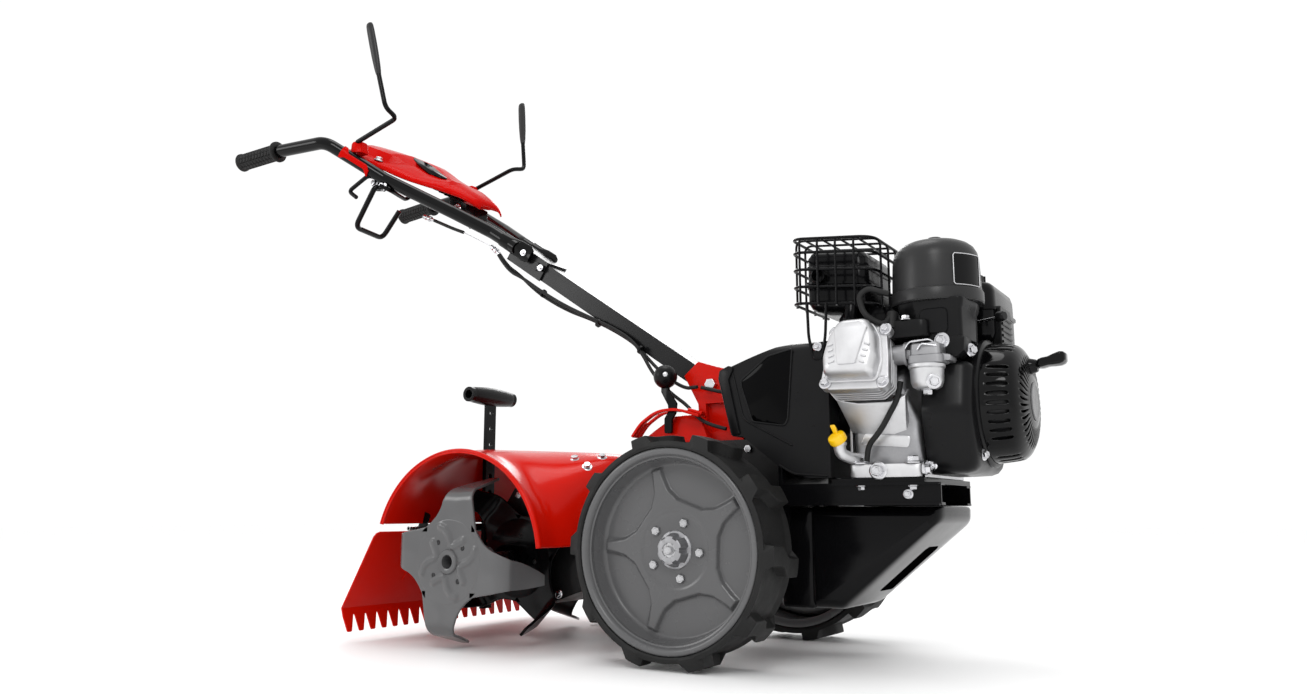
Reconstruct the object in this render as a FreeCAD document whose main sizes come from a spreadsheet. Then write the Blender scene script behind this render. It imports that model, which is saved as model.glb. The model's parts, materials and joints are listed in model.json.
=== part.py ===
import FreeCAD, Part
import math
import os
import Sketcher

# Rear-tine tiller. Millimetres, +Z up, +X towards the engine, +Y to the operator's left.
# Everything is laid out about the wheel axle (x = 0) and every sub-part is then
# shifted forward by axle_x and down by drop, so that the origin sits under the middle of
# the machine and the lowest tyre lugs just touch z = 0.

CELLS = {
    # layout
    "axle_x": 269, "drop": 1.7, "axle_z": 165, "tine_x": -400, "tine_z": 140, "shaft_z": 215,
    "crank_z": 371, "frame_top": 264.6, "half_width": 262, "sheet": 3, "fit": 0.05,
    # wheels
    "tyre_r": 165, "carcass_r": 150, "rim_r": 142.3, "bead_r": 134, "tyre_width": 92,
    "wheel_y": 214, "lug_tip": 24, "lug_base": 30, "disc_dish": 11, "disc_hole": 21,
    "star_inner": 55, "star_height": 3.5, "wheel_bolt_pcd": 81.2, "wheel_bolt_r": 6.5,
    "hub_ring_r": 27.4, "hub_reach": 34, "hub_tube_r": 20, "axle_r": 12.5, "axle_half": 246,
    "worm_r": 18, "axle_wheel_r": 31.5, "tine_worm_r": 22.5, "tine_wheel_r": 52,
    # tines
    "tine_disc_r": 46, "tine_plate": 5, "tine_outer_y": 258, "tine_inner_y": 84,
    "tine_blade": 80, "tine_hub_r": 23, "tine_bore": 12.5, "socket_r": 14, "tine_shaft_r": 12.5,
    "tine_hole_pcd": 72, "tine_hole_r": 5,
    # gear case and what bolts to it
    "case_half": 60, "case_wall": 7, "case_top": 330, "tail_top": 262, "case_front": 110,
    "axle_boss_r": 34, "axle_boss_y": 92, "tine_boss_r": 30, "tine_boss_y": 72,
    "dome_top": 386, "dome_half": 62, "bracket_half": 45, "slot_half": 26.5,
    "bolt_head_r": 6.5, "bolt_head": 5,
    # frame, pan and belt guard
    "rail_y": 117, "rail_inner": 97, "rail_low": 227, "rail_high": 258, "rail_end": 348,
    "rail_wall": 4, "plate_start": 192, "pan_half": 90, "pan_low": 79, "pan_front": 338,
    "guard_half": 130, "guard_low": 266, "guard_front": 194, "guard_crest": 465,
    "belt_x": 165, "belt_width": 12, "belt_depth": 8, "drive_r": 28, "driven_r": 44,
    "flange_step": 10, "pulley_half": 12,
    # engine
    "block_rear": 218, "block_front": 324, "base_height": 19, "bolt_pitch_x": 75.5,
    "bolt_pitch_y": 162, "head_tilt": 20, "barrel_r": 45, "bore_r": 32, "head_start": 122,
    "head_end": 165, "cover_end": 190, "crank_r": 10, "flywheel_r": 68, "cowl_front": 390,
    "cowl_low": 269, "recoil_r": 85.5, "recoil_front": 452, "cleaner_x": 338,
    "cleaner_y": -60, "cap_r": 65, "cap_low": 508, "cap_top": 609, "bowl_x": 340,
    "bowl_y": -142, "bowl_r": 19, "bowl_low": 378, "tank_low": 462, "tank_top": 558,
    "filler_x": 340, "filler_y": 92, "muffler_low": 512, "muffler_top": 598, "wire_r": 2, "grip_front": 497,
    # hood, flap and stake
    "hood_x": -390, "hood_z": 145, "hood_r": 170, "hood_start": 6.4, "hood_sweep": 155.3,
    "ridge_half": 42, "ridge_top": 342, "flap_x": -557, "flap_z": 190, "rod_r": 4, "rod_half": 190,
    "flap_low": 17, "stake_x": -545, "stake_width": 25, "stake_thick": 8, "stake_top": 432,
    "stake_low": 42, "stake_pitch": 30, "stake_grip_r": 14, "stake_grip_half": 62,
    # handle
    "pivot_x": -38, "pivot_z": 422, "column_slope": 34, "column_half": 25,
    "column_height": 32, "column_above": 8.5, "column_wall": 2.5, "column_end": 508,
    "bar_r": 12.5, "bar_wall": 2, "bar_bend": 45, "grip_r": 16, "grip_length": 106,
    "lever_r": 4, "bail_r": 4, "cable_r": 3, "clamp_half": 29,
    # gear lever
    "gear_x": -108, "gear_y": -72, "gear_z": 350, "knob_r": 19, "knob_z": 437,
}


class Dim:
    """A sheet value, or sums of them, that keeps both its number and its expression."""

    def __init__(self, text, value):
        self.text = text
        self.value = value

    def __float__(self):
        return self.value

    def __neg__(self):
        return Dim(f"({self.text} * (-1))", -self.value)

    def __add__(self, other):
        return Dim(f"({self.text} + {text_of(other)})", self.value + float(other))

    def __sub__(self, other):
        return Dim(f"({self.text} - {text_of(other)})", self.value - float(other))

    def __mul__(self, other):
        return Dim(f"({self.text} * {text_of(other)})", self.value * float(other))

    def __truediv__(self, other):
        return Dim(f"({self.text} / {text_of(other)})", self.value / float(other))

    def __rsub__(self, other):
        return Dim(f"({text_of(other)} - {self.text})", float(other) - self.value)

    __radd__ = __add__
    __rmul__ = __mul__


def text_of(value):
    """The expression text of a Dim or a plain number."""
    if isinstance(value, Dim):
        return value.text
    return f"({float(value):.4f})"


class Sizes:
    """The sheet values as attributes."""


doc = FreeCAD.newDocument("tiller")
sheet = doc.addObject("Spreadsheet::Sheet", "Dims")
d = Sizes()
for row, (alias, value) in enumerate(CELLS.items(), start=1):
    sheet.set(f"A{row}", alias)
    sheet.set(f"B{row}", str(value))
    sheet.setAlias(f"B{row}", alias)
    setattr(d, alias, Dim(f"Dims.{alias}", float(value)))
doc.recompute()

nodes = []
UP = FreeCAD.Vector(0, 0, 1)
ALONG = {
    "X": FreeCAD.Rotation(FreeCAD.Vector(0, 1, 0), 90),
    "Y": FreeCAD.Rotation(FreeCAD.Vector(1, 0, 0), -90),
    "Z": FreeCAD.Rotation(),
}


def vec(point):
    """A vector from three Dims or numbers."""
    return FreeCAD.Vector(*[float(value) for value in point])


def bind(obj, **sizes):
    """Ties each named property to its sheet expression."""
    for name, value in sizes.items():
        obj.setExpression(name, text_of(value))


def shift(obj, x, y, z, rotation=None):
    """Places an object; the position stays tied to the sheet."""
    obj.Placement = FreeCAD.Placement(vec((x, y, z)), rotation or FreeCAD.Rotation())
    obj.setExpression(".Placement.Base.x", text_of(x))
    obj.setExpression(".Placement.Base.y", text_of(y))
    obj.setExpression(".Placement.Base.z", text_of(z))
    return obj


def node(label, obj, x=0, y=0, z=0, rotation=None):
    """Names a finished sub-part and gives it its own placement in the machine."""
    obj.Label = label
    shift(obj, d.axle_x + x, y, z - d.drop, rotation)
    nodes.append(obj)
    return obj


def solid_node(label, shape):
    """A sub-part whose shape is made in code from the sheet values."""
    obj = doc.addObject("Part::Feature", "Shape")
    obj.Shape = shape
    return node(label, obj)


# ---- primitives and booleans -------------------------------------------------------

def box(x, y, z):
    """A box between three (low, high) pairs."""
    obj = doc.addObject("Part::Box", "Box")
    bind(obj, Length=x[1] - x[0], Width=y[1] - y[0], Height=z[1] - z[0])
    return shift(obj, x[0], y[0], z[0])


def rod(axis, span, first, second, radius):
    """A cylinder along an axis over span; first and second are its other coordinates."""
    obj = doc.addObject("Part::Cylinder", "Rod")
    bind(obj, Radius=radius, Height=span[1] - span[0])
    at = {"X": (span[0], first, second), "Y": (first, span[0], second),
          "Z": (first, second, span[0])}[axis]
    return shift(obj, *at, ALONG[axis])


def hexagon(axis, span, first, second, radius):
    """A hexagonal bolt head along an axis."""
    obj = doc.addObject("Part::Prism", "Hex")
    obj.Polygon = 6
    bind(obj, Circumradius=radius, Height=span[1] - span[0])
    at = {"X": (span[0], first, second), "Y": (first, span[0], second),
          "Z": (first, second, span[0])}[axis]
    return shift(obj, *at, ALONG[axis])


def ball(x, y, z, radius):
    """A sphere."""
    obj = doc.addObject("Part::Sphere", "Ball")
    bind(obj, Radius=radius)
    return shift(obj, x, y, z)


def fuse(*shapes):
    """One solid from several."""
    obj = doc.addObject("Part::MultiFuse", "Fuse")
    obj.Shapes = list(shapes)
    return obj


def cut(base, *tools):
    """The base less every tool."""
    obj = doc.addObject("Part::Cut", "Cut")
    obj.Base = base
    obj.Tool = tools[0] if len(tools) == 1 else fuse(*tools)
    return obj


# ---- sketched bodies ---------------------------------------------------------------

def new_body(name="Body"):
    """An empty body."""
    return doc.addObject("PartDesign::Body", name)


def sketch(body, plane, loops=(), circles=(), offset=0):
    """A sketch of closed polygons and circles, each point tied to the sheet."""
    profile = body.newObject("Sketcher::SketchObject", "Sketch")
    support = [item for item in body.Origin.OriginFeatures if item.Role == plane]
    profile.AttachmentSupport = [(support[0], "")]
    profile.MapMode = "FlatFace"
    profile.setExpression(".AttachmentOffset.Base.z", text_of(offset))
    for points in loops:
        first = profile.GeometryCount
        count = len(points)
        for index, point in enumerate(points):
            following = points[(index + 1) % count]
            profile.addGeometry(Part.LineSegment(vec((*point, 0)), vec((*following, 0))))
        for index, point in enumerate(points):
            line = first + index
            following = first + (index + 1) % count
            profile.addConstraint(Sketcher.Constraint("Coincident", line, 2, following, 1))
            for kind, value in zip(("DistanceX", "DistanceY"), point):
                limit = Sketcher.Constraint(kind, -1, 1, line, 1, float(value))
                number = profile.addConstraint(limit)
                if isinstance(value, Dim):
                    profile.setExpression(f"Constraints[{number}]", value.text)
    for across, up, radius in circles:
        curve = Part.Circle(vec((across, up, 0)), UP, float(radius))
        index = profile.addGeometry(curve)
        number = profile.addConstraint(Sketcher.Constraint("Radius", index, float(radius)))
        if isinstance(radius, Dim):
            profile.setExpression(f"Constraints[{number}]", radius.text)
        for kind, value in (("DistanceX", across), ("DistanceY", up)):
            limit = Sketcher.Constraint(kind, -1, 1, index, 3, float(value))
            number = profile.addConstraint(limit)
            if isinstance(value, Dim):
                profile.setExpression(f"Constraints[{number}]", value.text)
    return profile


PLANES = {"X": ("YZ_Plane", 1), "Y": ("XZ_Plane", -1), "Z": ("XY_Plane", 1)}


def pad(body, axis, low, high, loops=(), circles=()):
    """Adds material between low and high along an axis."""
    plane, sense = PLANES[axis]
    start = low if sense > 0 else high * -1
    feature = body.newObject("PartDesign::Pad", "Pad")
    feature.Profile = sketch(body, plane, loops, circles, start)
    bind(feature, Length=high - low)
    return feature


def pocket(body, axis, low, high, loops=(), circles=()):
    """Removes material between low and high along an axis."""
    plane, sense = PLANES[axis]
    start = high if sense > 0 else low * -1
    feature = body.newObject("PartDesign::Pocket", "Pocket")
    feature.Profile = sketch(body, plane, loops, circles, start)
    bind(feature, Length=high - low)
    return feature


def turn(body, plane, axis, points, angle=360):
    """A turned shape about the sketch's own H_Axis or V_Axis."""
    feature = body.newObject("PartDesign::Revolution", "Revolution")
    profile = sketch(body, plane, [points])
    feature.Profile = profile
    feature.ReferenceAxis = (profile, [axis])
    bind(feature, Angle=angle)
    return feature


def around(body, originals, axis_role, count):
    """Repeats features evenly about one of the body's own axes."""
    feature = body.newObject("PartDesign::PolarPattern", "Ring")
    feature.Originals = originals
    axis = [item for item in body.Origin.OriginFeatures if item.Role == axis_role]
    feature.Axis = (axis[0], [""])
    feature.Angle = 360
    feature.Occurrences = count
    body.Tip = feature
    return feature


def along(body, originals, axis_role, length, count):
    """Repeats features evenly along one of the body's own axes."""
    feature = body.newObject("PartDesign::LinearPattern", "Row")
    feature.Originals = originals
    axis = [item for item in body.Origin.OriginFeatures if item.Role == axis_role]
    feature.Direction = (axis[0], [""])
    bind(feature, Length=length)
    feature.Occurrences = count
    body.Tip = feature
    return feature


def edges_along(shape, direction, keep=None):
    """Names of the straight edges parallel to a direction."""
    names = []
    for index, edge in enumerate(shape.Edges, start=1):
        if edge.Curve.TypeId != "Part::GeomLine":
            continue
        parallel = abs(edge.tangentAt(edge.FirstParameter).dot(direction)) > 0.999
        if parallel and (keep is None or keep(edge.CenterOfMass)):
            names.append(f"Edge{index}")
    return names


def round_edges(body, direction, radius, keep=None):
    """Rounds the edges parallel to a direction."""
    doc.recompute()
    base = body.Tip
    feature = body.newObject("PartDesign::Fillet", "Round")
    feature.Base = (base, edges_along(base.Shape, direction, keep))
    bind(feature, Radius=radius)
    return feature


def hollow(body, wall, *openings):
    """Leaves a wall; each opening is the outward direction of a flat face to leave open."""
    doc.recompute()
    base = body.Tip
    names = []
    for index, face in enumerate(base.Shape.Faces, start=1):
        flat = face.Surface.TypeId == "Part::GeomPlane"
        if flat and any(face.normalAt(0, 0).dot(way) > 0.999 for way in openings):
            names.append(f"Face{index}")
    feature = body.newObject("PartDesign::Thickness", "Hollow")
    feature.Base = (base, names)
    feature.Reversed = True
    bind(feature, Value=wall)
    return feature


def rectangle(x, y):
    """Corner points between two (low, high) pairs."""
    return [(x[0], y[0]), (x[1], y[0]), (x[1], y[1]), (x[0], y[1])]


WAY = {"X": FreeCAD.Vector(1, 0, 0), "Y": FreeCAD.Vector(0, 1, 0), "Z": UP}


# ---- bent bars and cables ----------------------------------------------------------

def bent_wire(points, bend, report=""):
    """A path of straights joined by arcs of radius bend."""
    corners = [vec(point) for point in points]
    edges = []
    start = corners[0]
    for before, corner, after in zip(corners, corners[1:], corners[2:]):
        into = (corner - before).normalize()
        out = (after - corner).normalize()
        half = into.getAngle(out) / 2
        room = 0.48 * min((corner - before).Length, (after - corner).Length)
        trim = min(float(bend) * math.tan(half), room)
        radius = trim / math.tan(half)
        first = corner - into * trim
        last = corner + out * trim
        inward = (out - into).normalize()
        middle = corner + inward * (radius / math.cos(half) - radius)
        edges.append(Part.LineSegment(start, first).toShape())
        edges.append(Part.Arc(first, middle, last).toShape())
        start = last
        if report:
            print(report, "bend radius", round(radius, 1))
    edges.append(Part.LineSegment(start, corners[-1]).toShape())
    return Part.Wire(edges)


def bar(points, radius, bend, report=""):
    """A round bar swept along a bent path."""
    path = bent_wire(points, bend, report)
    first = path.Edges[0]
    centre = first.valueAt(first.FirstParameter)
    ring = Part.Wire(Part.makeCircle(float(radius), centre, first.tangentAt(first.FirstParameter)))
    return path.makePipeShell([ring], True, True)


def joined(shapes):
    """One solid from several code-made shapes."""
    whole = shapes[0].multiFuse(shapes[1:])
    return whole.removeSplitter()


# ---- wheels and axle ---------------------------------------------------------------

BOLT_ANGLE = math.radians(33.6)
BOLT_HOLE = (d.wheel_bolt_pcd * (math.cos(BOLT_ANGLE) / 2),
             d.wheel_bolt_pcd * (math.sin(BOLT_ANGLE) / 2), 4.2)
STAR_TURN = 34


def build_wheel(side, name):
    """Tyre, dished disc and hub of one wheel; side is -1 for the right, +1 for the left."""
    half = d.tyre_width / 2
    tyre = new_body()
    edge = half - 6
    turn(tyre, "XY_Plane", "V_Axis", [
        (d.bead_r, -edge), (d.rim_r + 1, -edge), (d.rim_r + 2, -half), (d.carcass_r - 3, -half),
        (d.carcass_r, 3 - half), (d.carcass_r, half - 3), (d.carcass_r - 3, half),
        (d.rim_r + 2, half), (d.rim_r + 1, edge), (d.bead_r, edge)])
    lug = pad(tyre, "Y", -half, half, [[
        (d.carcass_r - 2, d.lug_base * -0.5), (d.tyre_r, d.lug_tip * -0.5),
        (d.tyre_r, d.lug_tip / 2), (d.carcass_r - 2, d.lug_base / 2)]])
    around(tyre, [lug], "Y_Axis", 10)
    spin = FreeCAD.Rotation(WAY["Y"], 4.7)
    node(f"tyre_{name}", tyre, 0, d.wheel_y * side, d.axle_z, spin)

    disc = new_body()
    low = d.disc_dish - d.sheet
    turn(disc, "XY_Plane", "V_Axis", [
        (d.disc_hole, low * side), (d.bead_r - 3, low * side), (d.bead_r - 3, -half * side),
        (d.rim_r, -half * side), (d.rim_r, (5 - half) * side), (d.bead_r, (5 - half) * side),
        (d.bead_r, (half - 5) * side), (d.rim_r, (half - 5) * side), (d.rim_r, (half - 1) * side),
        (d.bead_r - 3, (half - 1) * side), (d.bead_r - 3, d.disc_dish * side),
        (d.disc_hole, d.disc_dish * side)])
    reach = sorted([d.disc_dish * side, (d.disc_dish + d.star_height) * side], key=float)
    arm = pad(disc, "Y", reach[0], reach[1], [[
        (d.star_inner - 8, -17), (d.bead_r - 4, -24), (d.bead_r - 4, 24), (d.star_inner - 8, 17)]])
    hole = pocket(disc, "Y", reach[0] - 20, reach[1] + 20,
                  circles=[BOLT_HOLE])
    around(disc, [arm, hole], "Y_Axis", 5)
    spin = FreeCAD.Rotation(WAY["Y"], -STAR_TURN)
    node(f"wheel_disc_{name}", disc, 0, d.wheel_y * side, d.axle_z, spin)

    hub = new_body()
    turn(hub, "XY_Plane", "V_Axis", [
        (d.axle_r, -80 * side), (d.hub_tube_r, -80 * side), (d.hub_tube_r, (low - 6) * side),
        (52, (low - 6) * side), (52, low * side), (d.disc_hole, low * side),
        (d.disc_hole, d.disc_dish * side), (d.hub_ring_r, d.disc_dish * side),
        (d.hub_ring_r, 20 * side), (22, 20 * side), (22, (d.hub_reach - 3) * side),
        (19, d.hub_reach * side), (d.axle_r, d.hub_reach * side)])
    flange = sorted([(low - 10) * side, (low + 5) * side], key=float)
    hole = pocket(hub, "Y", flange[0], flange[1],
                  circles=[BOLT_HOLE])
    around(hub, [hole], "Y_Axis", 5)
    scallop = sorted([20 * side, (d.hub_reach + 1) * side], key=float)
    notch = pocket(hub, "Y", scallop[0], scallop[1], circles=[(24.5, 0, 5.5)])
    around(hub, [notch], "Y_Axis", 6)
    node(f"hub_{name}", hub, 0, d.wheel_y * side, d.axle_z, spin)


def build_wheel_bolts():
    """Five bolts through each disc and the end bolt of each hub."""
    heads = []
    for side in (-1, 1):
        face = (d.wheel_y + d.disc_dish) * side
        for index in range(5):
            angle = BOLT_ANGLE + math.radians(STAR_TURN + 72 * index)
            x = d.wheel_bolt_pcd / 2 * math.cos(angle)
            z = d.axle_z + d.wheel_bolt_pcd / 2 * math.sin(angle)
            span = sorted([face, face + 6.5 * side], key=float)
            heads.append(hexagon("Y", span, x, z, d.wheel_bolt_r + 1))
            shank = sorted([face, face - 14 * side], key=float)
            heads.append(rod("Y", shank, x, z, 4))
    node("wheel_bolts", fuse(*heads))


for wheel_side, wheel_name in ((-1, "right"), (1, "left")):
    build_wheel(wheel_side, wheel_name)
build_wheel_bolts()

axle = new_body()
turn(axle, "XY_Plane", "V_Axis", [
    (0, -d.axle_half), (d.axle_r, -d.axle_half), (d.axle_r, -11), (d.axle_wheel_r, -11),
    (d.axle_wheel_r, 11), (d.axle_r, 11), (d.axle_r, d.axle_half), (0, d.axle_half)])
node("axle_shaft", axle, 0, 0, d.axle_z)

# ---- tine rotor --------------------------------------------------------------------

def build_tines(face, sense, tube, label, turned):
    """A four-arm tine plate; its blades reach sense * tine_blade sideways from the face."""
    plate = new_body()
    span = sorted([0, d.tine_plate * sense], key=float)
    pad(plate, "Y", span[0], span[1], circles=[(0, 0, d.tine_disc_r)])
    arm = pad(plate, "Y", span[0], span[1], [[
        (24, -30), (48, -44), (72, -42), (98, -46), (114, 7), (88, 12), (62, 26), (44, 46)]])
    bend = sketch(plate, "XZ_Plane", [[(98, -46), (114, 7), (109.4, 8.4), (93.4, -44.6)]], (),
                  d.tine_plate * (-0.5 * sense))
    tip = sketch(plate, "XZ_Plane", [[
        (127.5, -41.7), (136.1, -12.9), (131.5, -11.5), (122.9, -40.3)]], (),
        d.tine_blade * -sense)
    blade = plate.newObject("PartDesign::AdditiveLoft", "Blade")
    blade.Profile = bend
    blade.Sections = [tip]
    hole = pocket(plate, "Y", span[0] - 1, span[1] + 1,
                  circles=[(d.tine_hole_pcd * 0.35, d.tine_hole_pcd * 0.357, d.tine_hole_r)])
    around(plate, [arm, blade, hole], "Y_Axis", 4)
    low, high = sorted([tube[0] * sense, tube[1] * sense])
    pad(plate, "Y", low, high, circles=[(0, 0, d.tine_hub_r)])
    pocket(plate, "Y", -100, 100, circles=[(0, 0, d.tine_bore)])
    if float(face) * sense < 0:
        low, high = sorted([-5 * sense, 28 * sense])
        pocket(plate, "Y", low, high, circles=[(0, 0, d.socket_r)])
    node(label, plate, d.tine_x, face, d.tine_z, FreeCAD.Rotation(WAY["Y"], turned))


for side, name, turned in ((-1, "right", 45), (1, "left", 11)):
    build_tines(d.tine_outer_y * side, -side, (-4, 84), f"tines_outer_{name}", 0)
    build_tines(d.tine_inner_y * side, side, (-12, 90), f"tines_inner_{name}", turned)

rotor = new_body()
turn(rotor, "XY_Plane", "V_Axis", [
    (0, -d.tine_outer_y + 30), (d.tine_shaft_r, -d.tine_outer_y + 30), (d.tine_shaft_r, -12),
    (d.tine_wheel_r, -12), (d.tine_wheel_r, 12), (d.tine_shaft_r, 12),
    (d.tine_shaft_r, d.tine_outer_y - 30), (0, d.tine_outer_y - 30)])
node("tine_shaft", rotor, d.tine_x, 0, d.tine_z)

# ---- gear case -----------------------------------------------------------------------

CASE = [
    (d.tine_x - 70, d.tine_z + 10), (d.tine_x - 52, d.tine_z - 42), (d.tine_x, d.tine_z - 70),
    (d.tine_x + 49, d.tine_z - 77), (d.tine_x + 110, d.tine_z - 56),
    (d.tine_x + 200, d.axle_z - 55), (d.case_front - 50, d.axle_z - 55),
    (d.case_front, d.axle_z - 15), (d.case_front, d.shaft_z + 70),
    (d.case_front - 70, d.case_top), (-165, d.case_top), (-200, d.tail_top),
    (d.tine_x - 30, d.tail_top), (d.tine_x - 62, d.shaft_z)]


def build_case(side, name):
    """One cast half of the gear case, open on the joint plane."""
    case = new_body()
    low, high = sorted([0, d.case_half * side], key=float)
    pad(case, "Y", low, high, [CASE])
    round_edges(case, WAY["Y"], 10)
    hollow(case, d.case_wall, WAY["Y"] * -side)
    axle_span = sorted([(d.case_half - 2) * side, d.axle_boss_y * side], key=float)
    pad(case, "Y", axle_span[0], axle_span[1], circles=[(0, d.axle_z, d.axle_boss_r)])
    tine_span = sorted([(d.case_half - 2) * side, (d.tine_boss_y - 0.5) * side], key=float)
    pad(case, "Y", tine_span[0], tine_span[1], circles=[(d.tine_x, d.tine_z, d.tine_boss_r)])
    through = sorted([20 * side, 100 * side])
    pocket(case, "Y", through[0], through[1], circles=[
        (0, d.axle_z, d.axle_r + d.fit), (d.tine_x, d.tine_z, d.tine_shaft_r + d.fit)])
    pocket(case, "X", d.case_front - 20, d.case_front + 1,
           circles=[(0, d.shaft_z, d.crank_r + d.fit)])
    node(f"gearbox_case_{name}", case)


build_case(-1, "right")
build_case(1, "left")

heads = []
CASE_BOLTS = [
    (d.tine_x + 57, d.tine_z - 62), (d.tine_x - 46, d.tine_z - 26), (-200, d.axle_z - 40),
    (d.case_front - 62, d.axle_z - 40), (d.case_front - 14, d.shaft_z - 20),
    (d.case_front - 14, d.shaft_z + 50), (d.case_front - 76, d.case_top - 15),
    (-150, d.case_top - 15), (-208, d.tail_top - 14), (d.tine_x - 20, d.tail_top - 14)]
for bolt_x, bolt_z in CASE_BOLTS:
    for side in (-1, 1):
        span = sorted([d.case_half * side, (d.case_half + d.bolt_head) * side], key=float)
        heads.append(hexagon("Y", span, bolt_x, bolt_z, d.bolt_head_r))
for bolt_x, bolt_y in ((-300, 60), (-250, 60), (-226, 88)):
    for side in (-1, 1):
        top = d.ridge_top - 36
        heads.append(hexagon("Z", (top, top + 5), bolt_x, bolt_y * side, d.bolt_head_r))
heads += [
    rod("Y", (-d.bracket_half - 3, d.bracket_half + 3), d.pivot_x, d.pivot_z, 5.95),
    hexagon("Y", (-d.bracket_half - 9, -d.bracket_half), d.pivot_x, d.pivot_z, 10),
    hexagon("Y", (d.bracket_half, d.bracket_half + 9), d.pivot_x, d.pivot_z, 10)]
node("case_bolts", fuse(*heads))

dome = new_body()
pad(dome, "Y", -d.dome_half, d.dome_half, [[
    (-168, d.case_top), (-66, d.case_top), (-66, d.dome_top - 10), (-84, d.dome_top),
    (-140, d.dome_top), (-168, d.dome_top - 26)]])
round_edges(dome, WAY["X"], 16, lambda at: at.z > float(d.dome_top) - 1)
hollow(dome, 4, UP * -1)
pad(dome, "Y", d.dome_half * -1 - 24, d.dome_half * -1 + 2, [[
    (-166, 336), (-161, 336), (-150, 362), (-120, 375), (-88, 378), (-66, 372), (-66, 377),
    (-88, 383), (-122, 380), (-154, 366)]])
pocket(dome, "Z", 340 + d.fit, 395 + d.fit, [rectangle(
    (d.gear_x - 16, d.gear_x + 14), (d.gear_y - 5, d.gear_y + 5))])
pad(dome, "Y", d.gear_y - 6, 3 - d.dome_half, circles=[(d.gear_x, d.gear_z, 4)])
node("gearbox_top_cover", dome)

cheeks = new_body()
pad(cheeks, "Y", -d.bracket_half, d.bracket_half, [[
    (-60, d.case_top), (18, d.case_top), (12, 400), (-14, 446), (-64, 462), (-90, 440),
    (-64, 392)]])
pocket(cheeks, "Y", -d.slot_half, d.slot_half, [[
    (-120, 352), (-4, 352), (-4, 500), (-120, 500)]])
for side in (-1, 1):
    span = sorted([(d.bracket_half - 10) * side, (d.bracket_half + 1) * side], key=float)
    pocket(cheeks, "Y", span[0], span[1], [[(-46, 346), (-2, 346), (-6, 392), (-50, 392)]])
pocket(cheeks, "Y", -d.bracket_half, d.bracket_half, circles=[(d.pivot_x, d.pivot_z, 6)])
node("handle_bracket", cheeks)

# ---- frame, pan and belt drive -----------------------------------------------------------

frame = new_body()
for side in (-1, 1):
    outer = d.rail_y * side
    inner = d.rail_inner * side
    web = (d.rail_y - d.rail_wall) * side
    end = d.rail_end if side < 0 else d.rail_end - 22
    pad(frame, "X", d.case_front, end, [[
        (outer, d.rail_low), (inner, d.rail_low), (inner, d.rail_low + d.rail_wall),
        (web, d.rail_low + d.rail_wall), (web, d.rail_high - d.rail_wall),
        (inner, d.rail_high - d.rail_wall), (inner, d.rail_high), (outer, d.rail_high)]])
    if side < 0:
        pad(frame, "Z", d.rail_high - 1, d.frame_top, [rectangle(
            (d.plate_start, d.rail_end - 22), (-d.rail_y, d.rail_y))])
pad(frame, "X", d.case_front, d.case_front + 6, [rectangle(
    (-d.rail_y, d.rail_y), (180, d.rail_high + 30))])
pocket(frame, "X", d.case_front - 1, d.case_front + 7, circles=[(0, d.shaft_z, 24)])
holes = [(271 + d.bolt_pitch_x * a, d.bolt_pitch_y * b - 9, 4.6)
         for a in (-0.5, 0.5) for b in (-0.5, 0.5)]
pocket(frame, "Z", d.rail_low - 1, d.frame_top + 1, circles=holes)
node("engine_frame", frame)

pan = new_body()
pad(pan, "Y", -d.pan_half, d.pan_half, [[
    (140, d.rail_low), (140, d.pan_low), (192, d.pan_low), (d.pan_front - 4, 205),
    (d.pan_front, d.rail_low)]])
slope = FreeCAD.Vector(float(d.pan_front) - 196, 0, 205 - float(d.pan_low)).normalize()
round_edges(pan, slope, 14)
pocket(pan, "Y", 12 - d.pan_half, d.pan_half - 12, [[
    (143, d.rail_low + 1), (143, d.pan_low + 3), (191, d.pan_low + 3),
    (d.pan_front - 7.5, 206), (d.pan_front - 3, d.rail_low + 1)]])
pocket(pan, "Y", d.sheet - d.pan_half, d.pan_half - d.sheet, [[
    (143, d.rail_low + 1), (143, d.pan_low + 15), (188, d.pan_low + 15),
    (d.pan_front - 18, 212), (d.pan_front - 15, d.rail_low + 1)]])
pocket(pan, "Z", 90, 200, [rectangle((222, 306), (2, 58))])
pocket(pan, "X", 139, 144, [rectangle((-14, 14), (198, d.rail_low + 1))])
node("belly_pan", pan)

guard = new_body()
pad(guard, "Y", -d.guard_half, d.guard_half, [[
    (20, 419), (42, 330), (59, 329), (116, 284), (162, d.guard_low),
    (d.guard_front, d.guard_low), (d.guard_front, d.guard_crest),
    (145, d.guard_crest), (112, 460), (37, 434)]])
round_edges(guard, WAY["X"], 22, lambda at: at.z > 462)
pocket(guard, "Y", d.sheet - d.guard_half, d.guard_half - d.sheet, [[
    (23.4, 418), (45, 331), (45, 200), (d.guard_front + 1, 200),
    (d.guard_front + 1, d.guard_crest - 24), (145, d.guard_crest - 24), (112, 440), (38, 430)]])
pocket(guard, "Y", 24 - d.guard_half, d.guard_half - 24, [[
    (38, 430), (38, 400), (d.guard_front + 1, 400), (d.guard_front + 1, d.guard_crest - 3),
    (145, d.guard_crest - 3), (113, 457)]])

backplate = new_body()
pad(backplate, "X", d.guard_front, d.guard_front + 3, [rectangle(
    (-d.guard_half, d.guard_half), (d.guard_low, d.guard_crest - 20))], [
        (0, d.crank_z, 26)])
node("belt_guard", fuse(guard, backplate))


def pulley(groove):
    """Half section of a V-belt pulley about the X axis."""
    half = d.pulley_half
    return [
        (-half, d.crank_r), (half, d.crank_r), (half, groove + d.flange_step),
        (half - 3, groove + d.flange_step), (7, groove), (-7, groove),
        (3 - half, groove + d.flange_step), (-half, groove + d.flange_step)]


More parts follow.
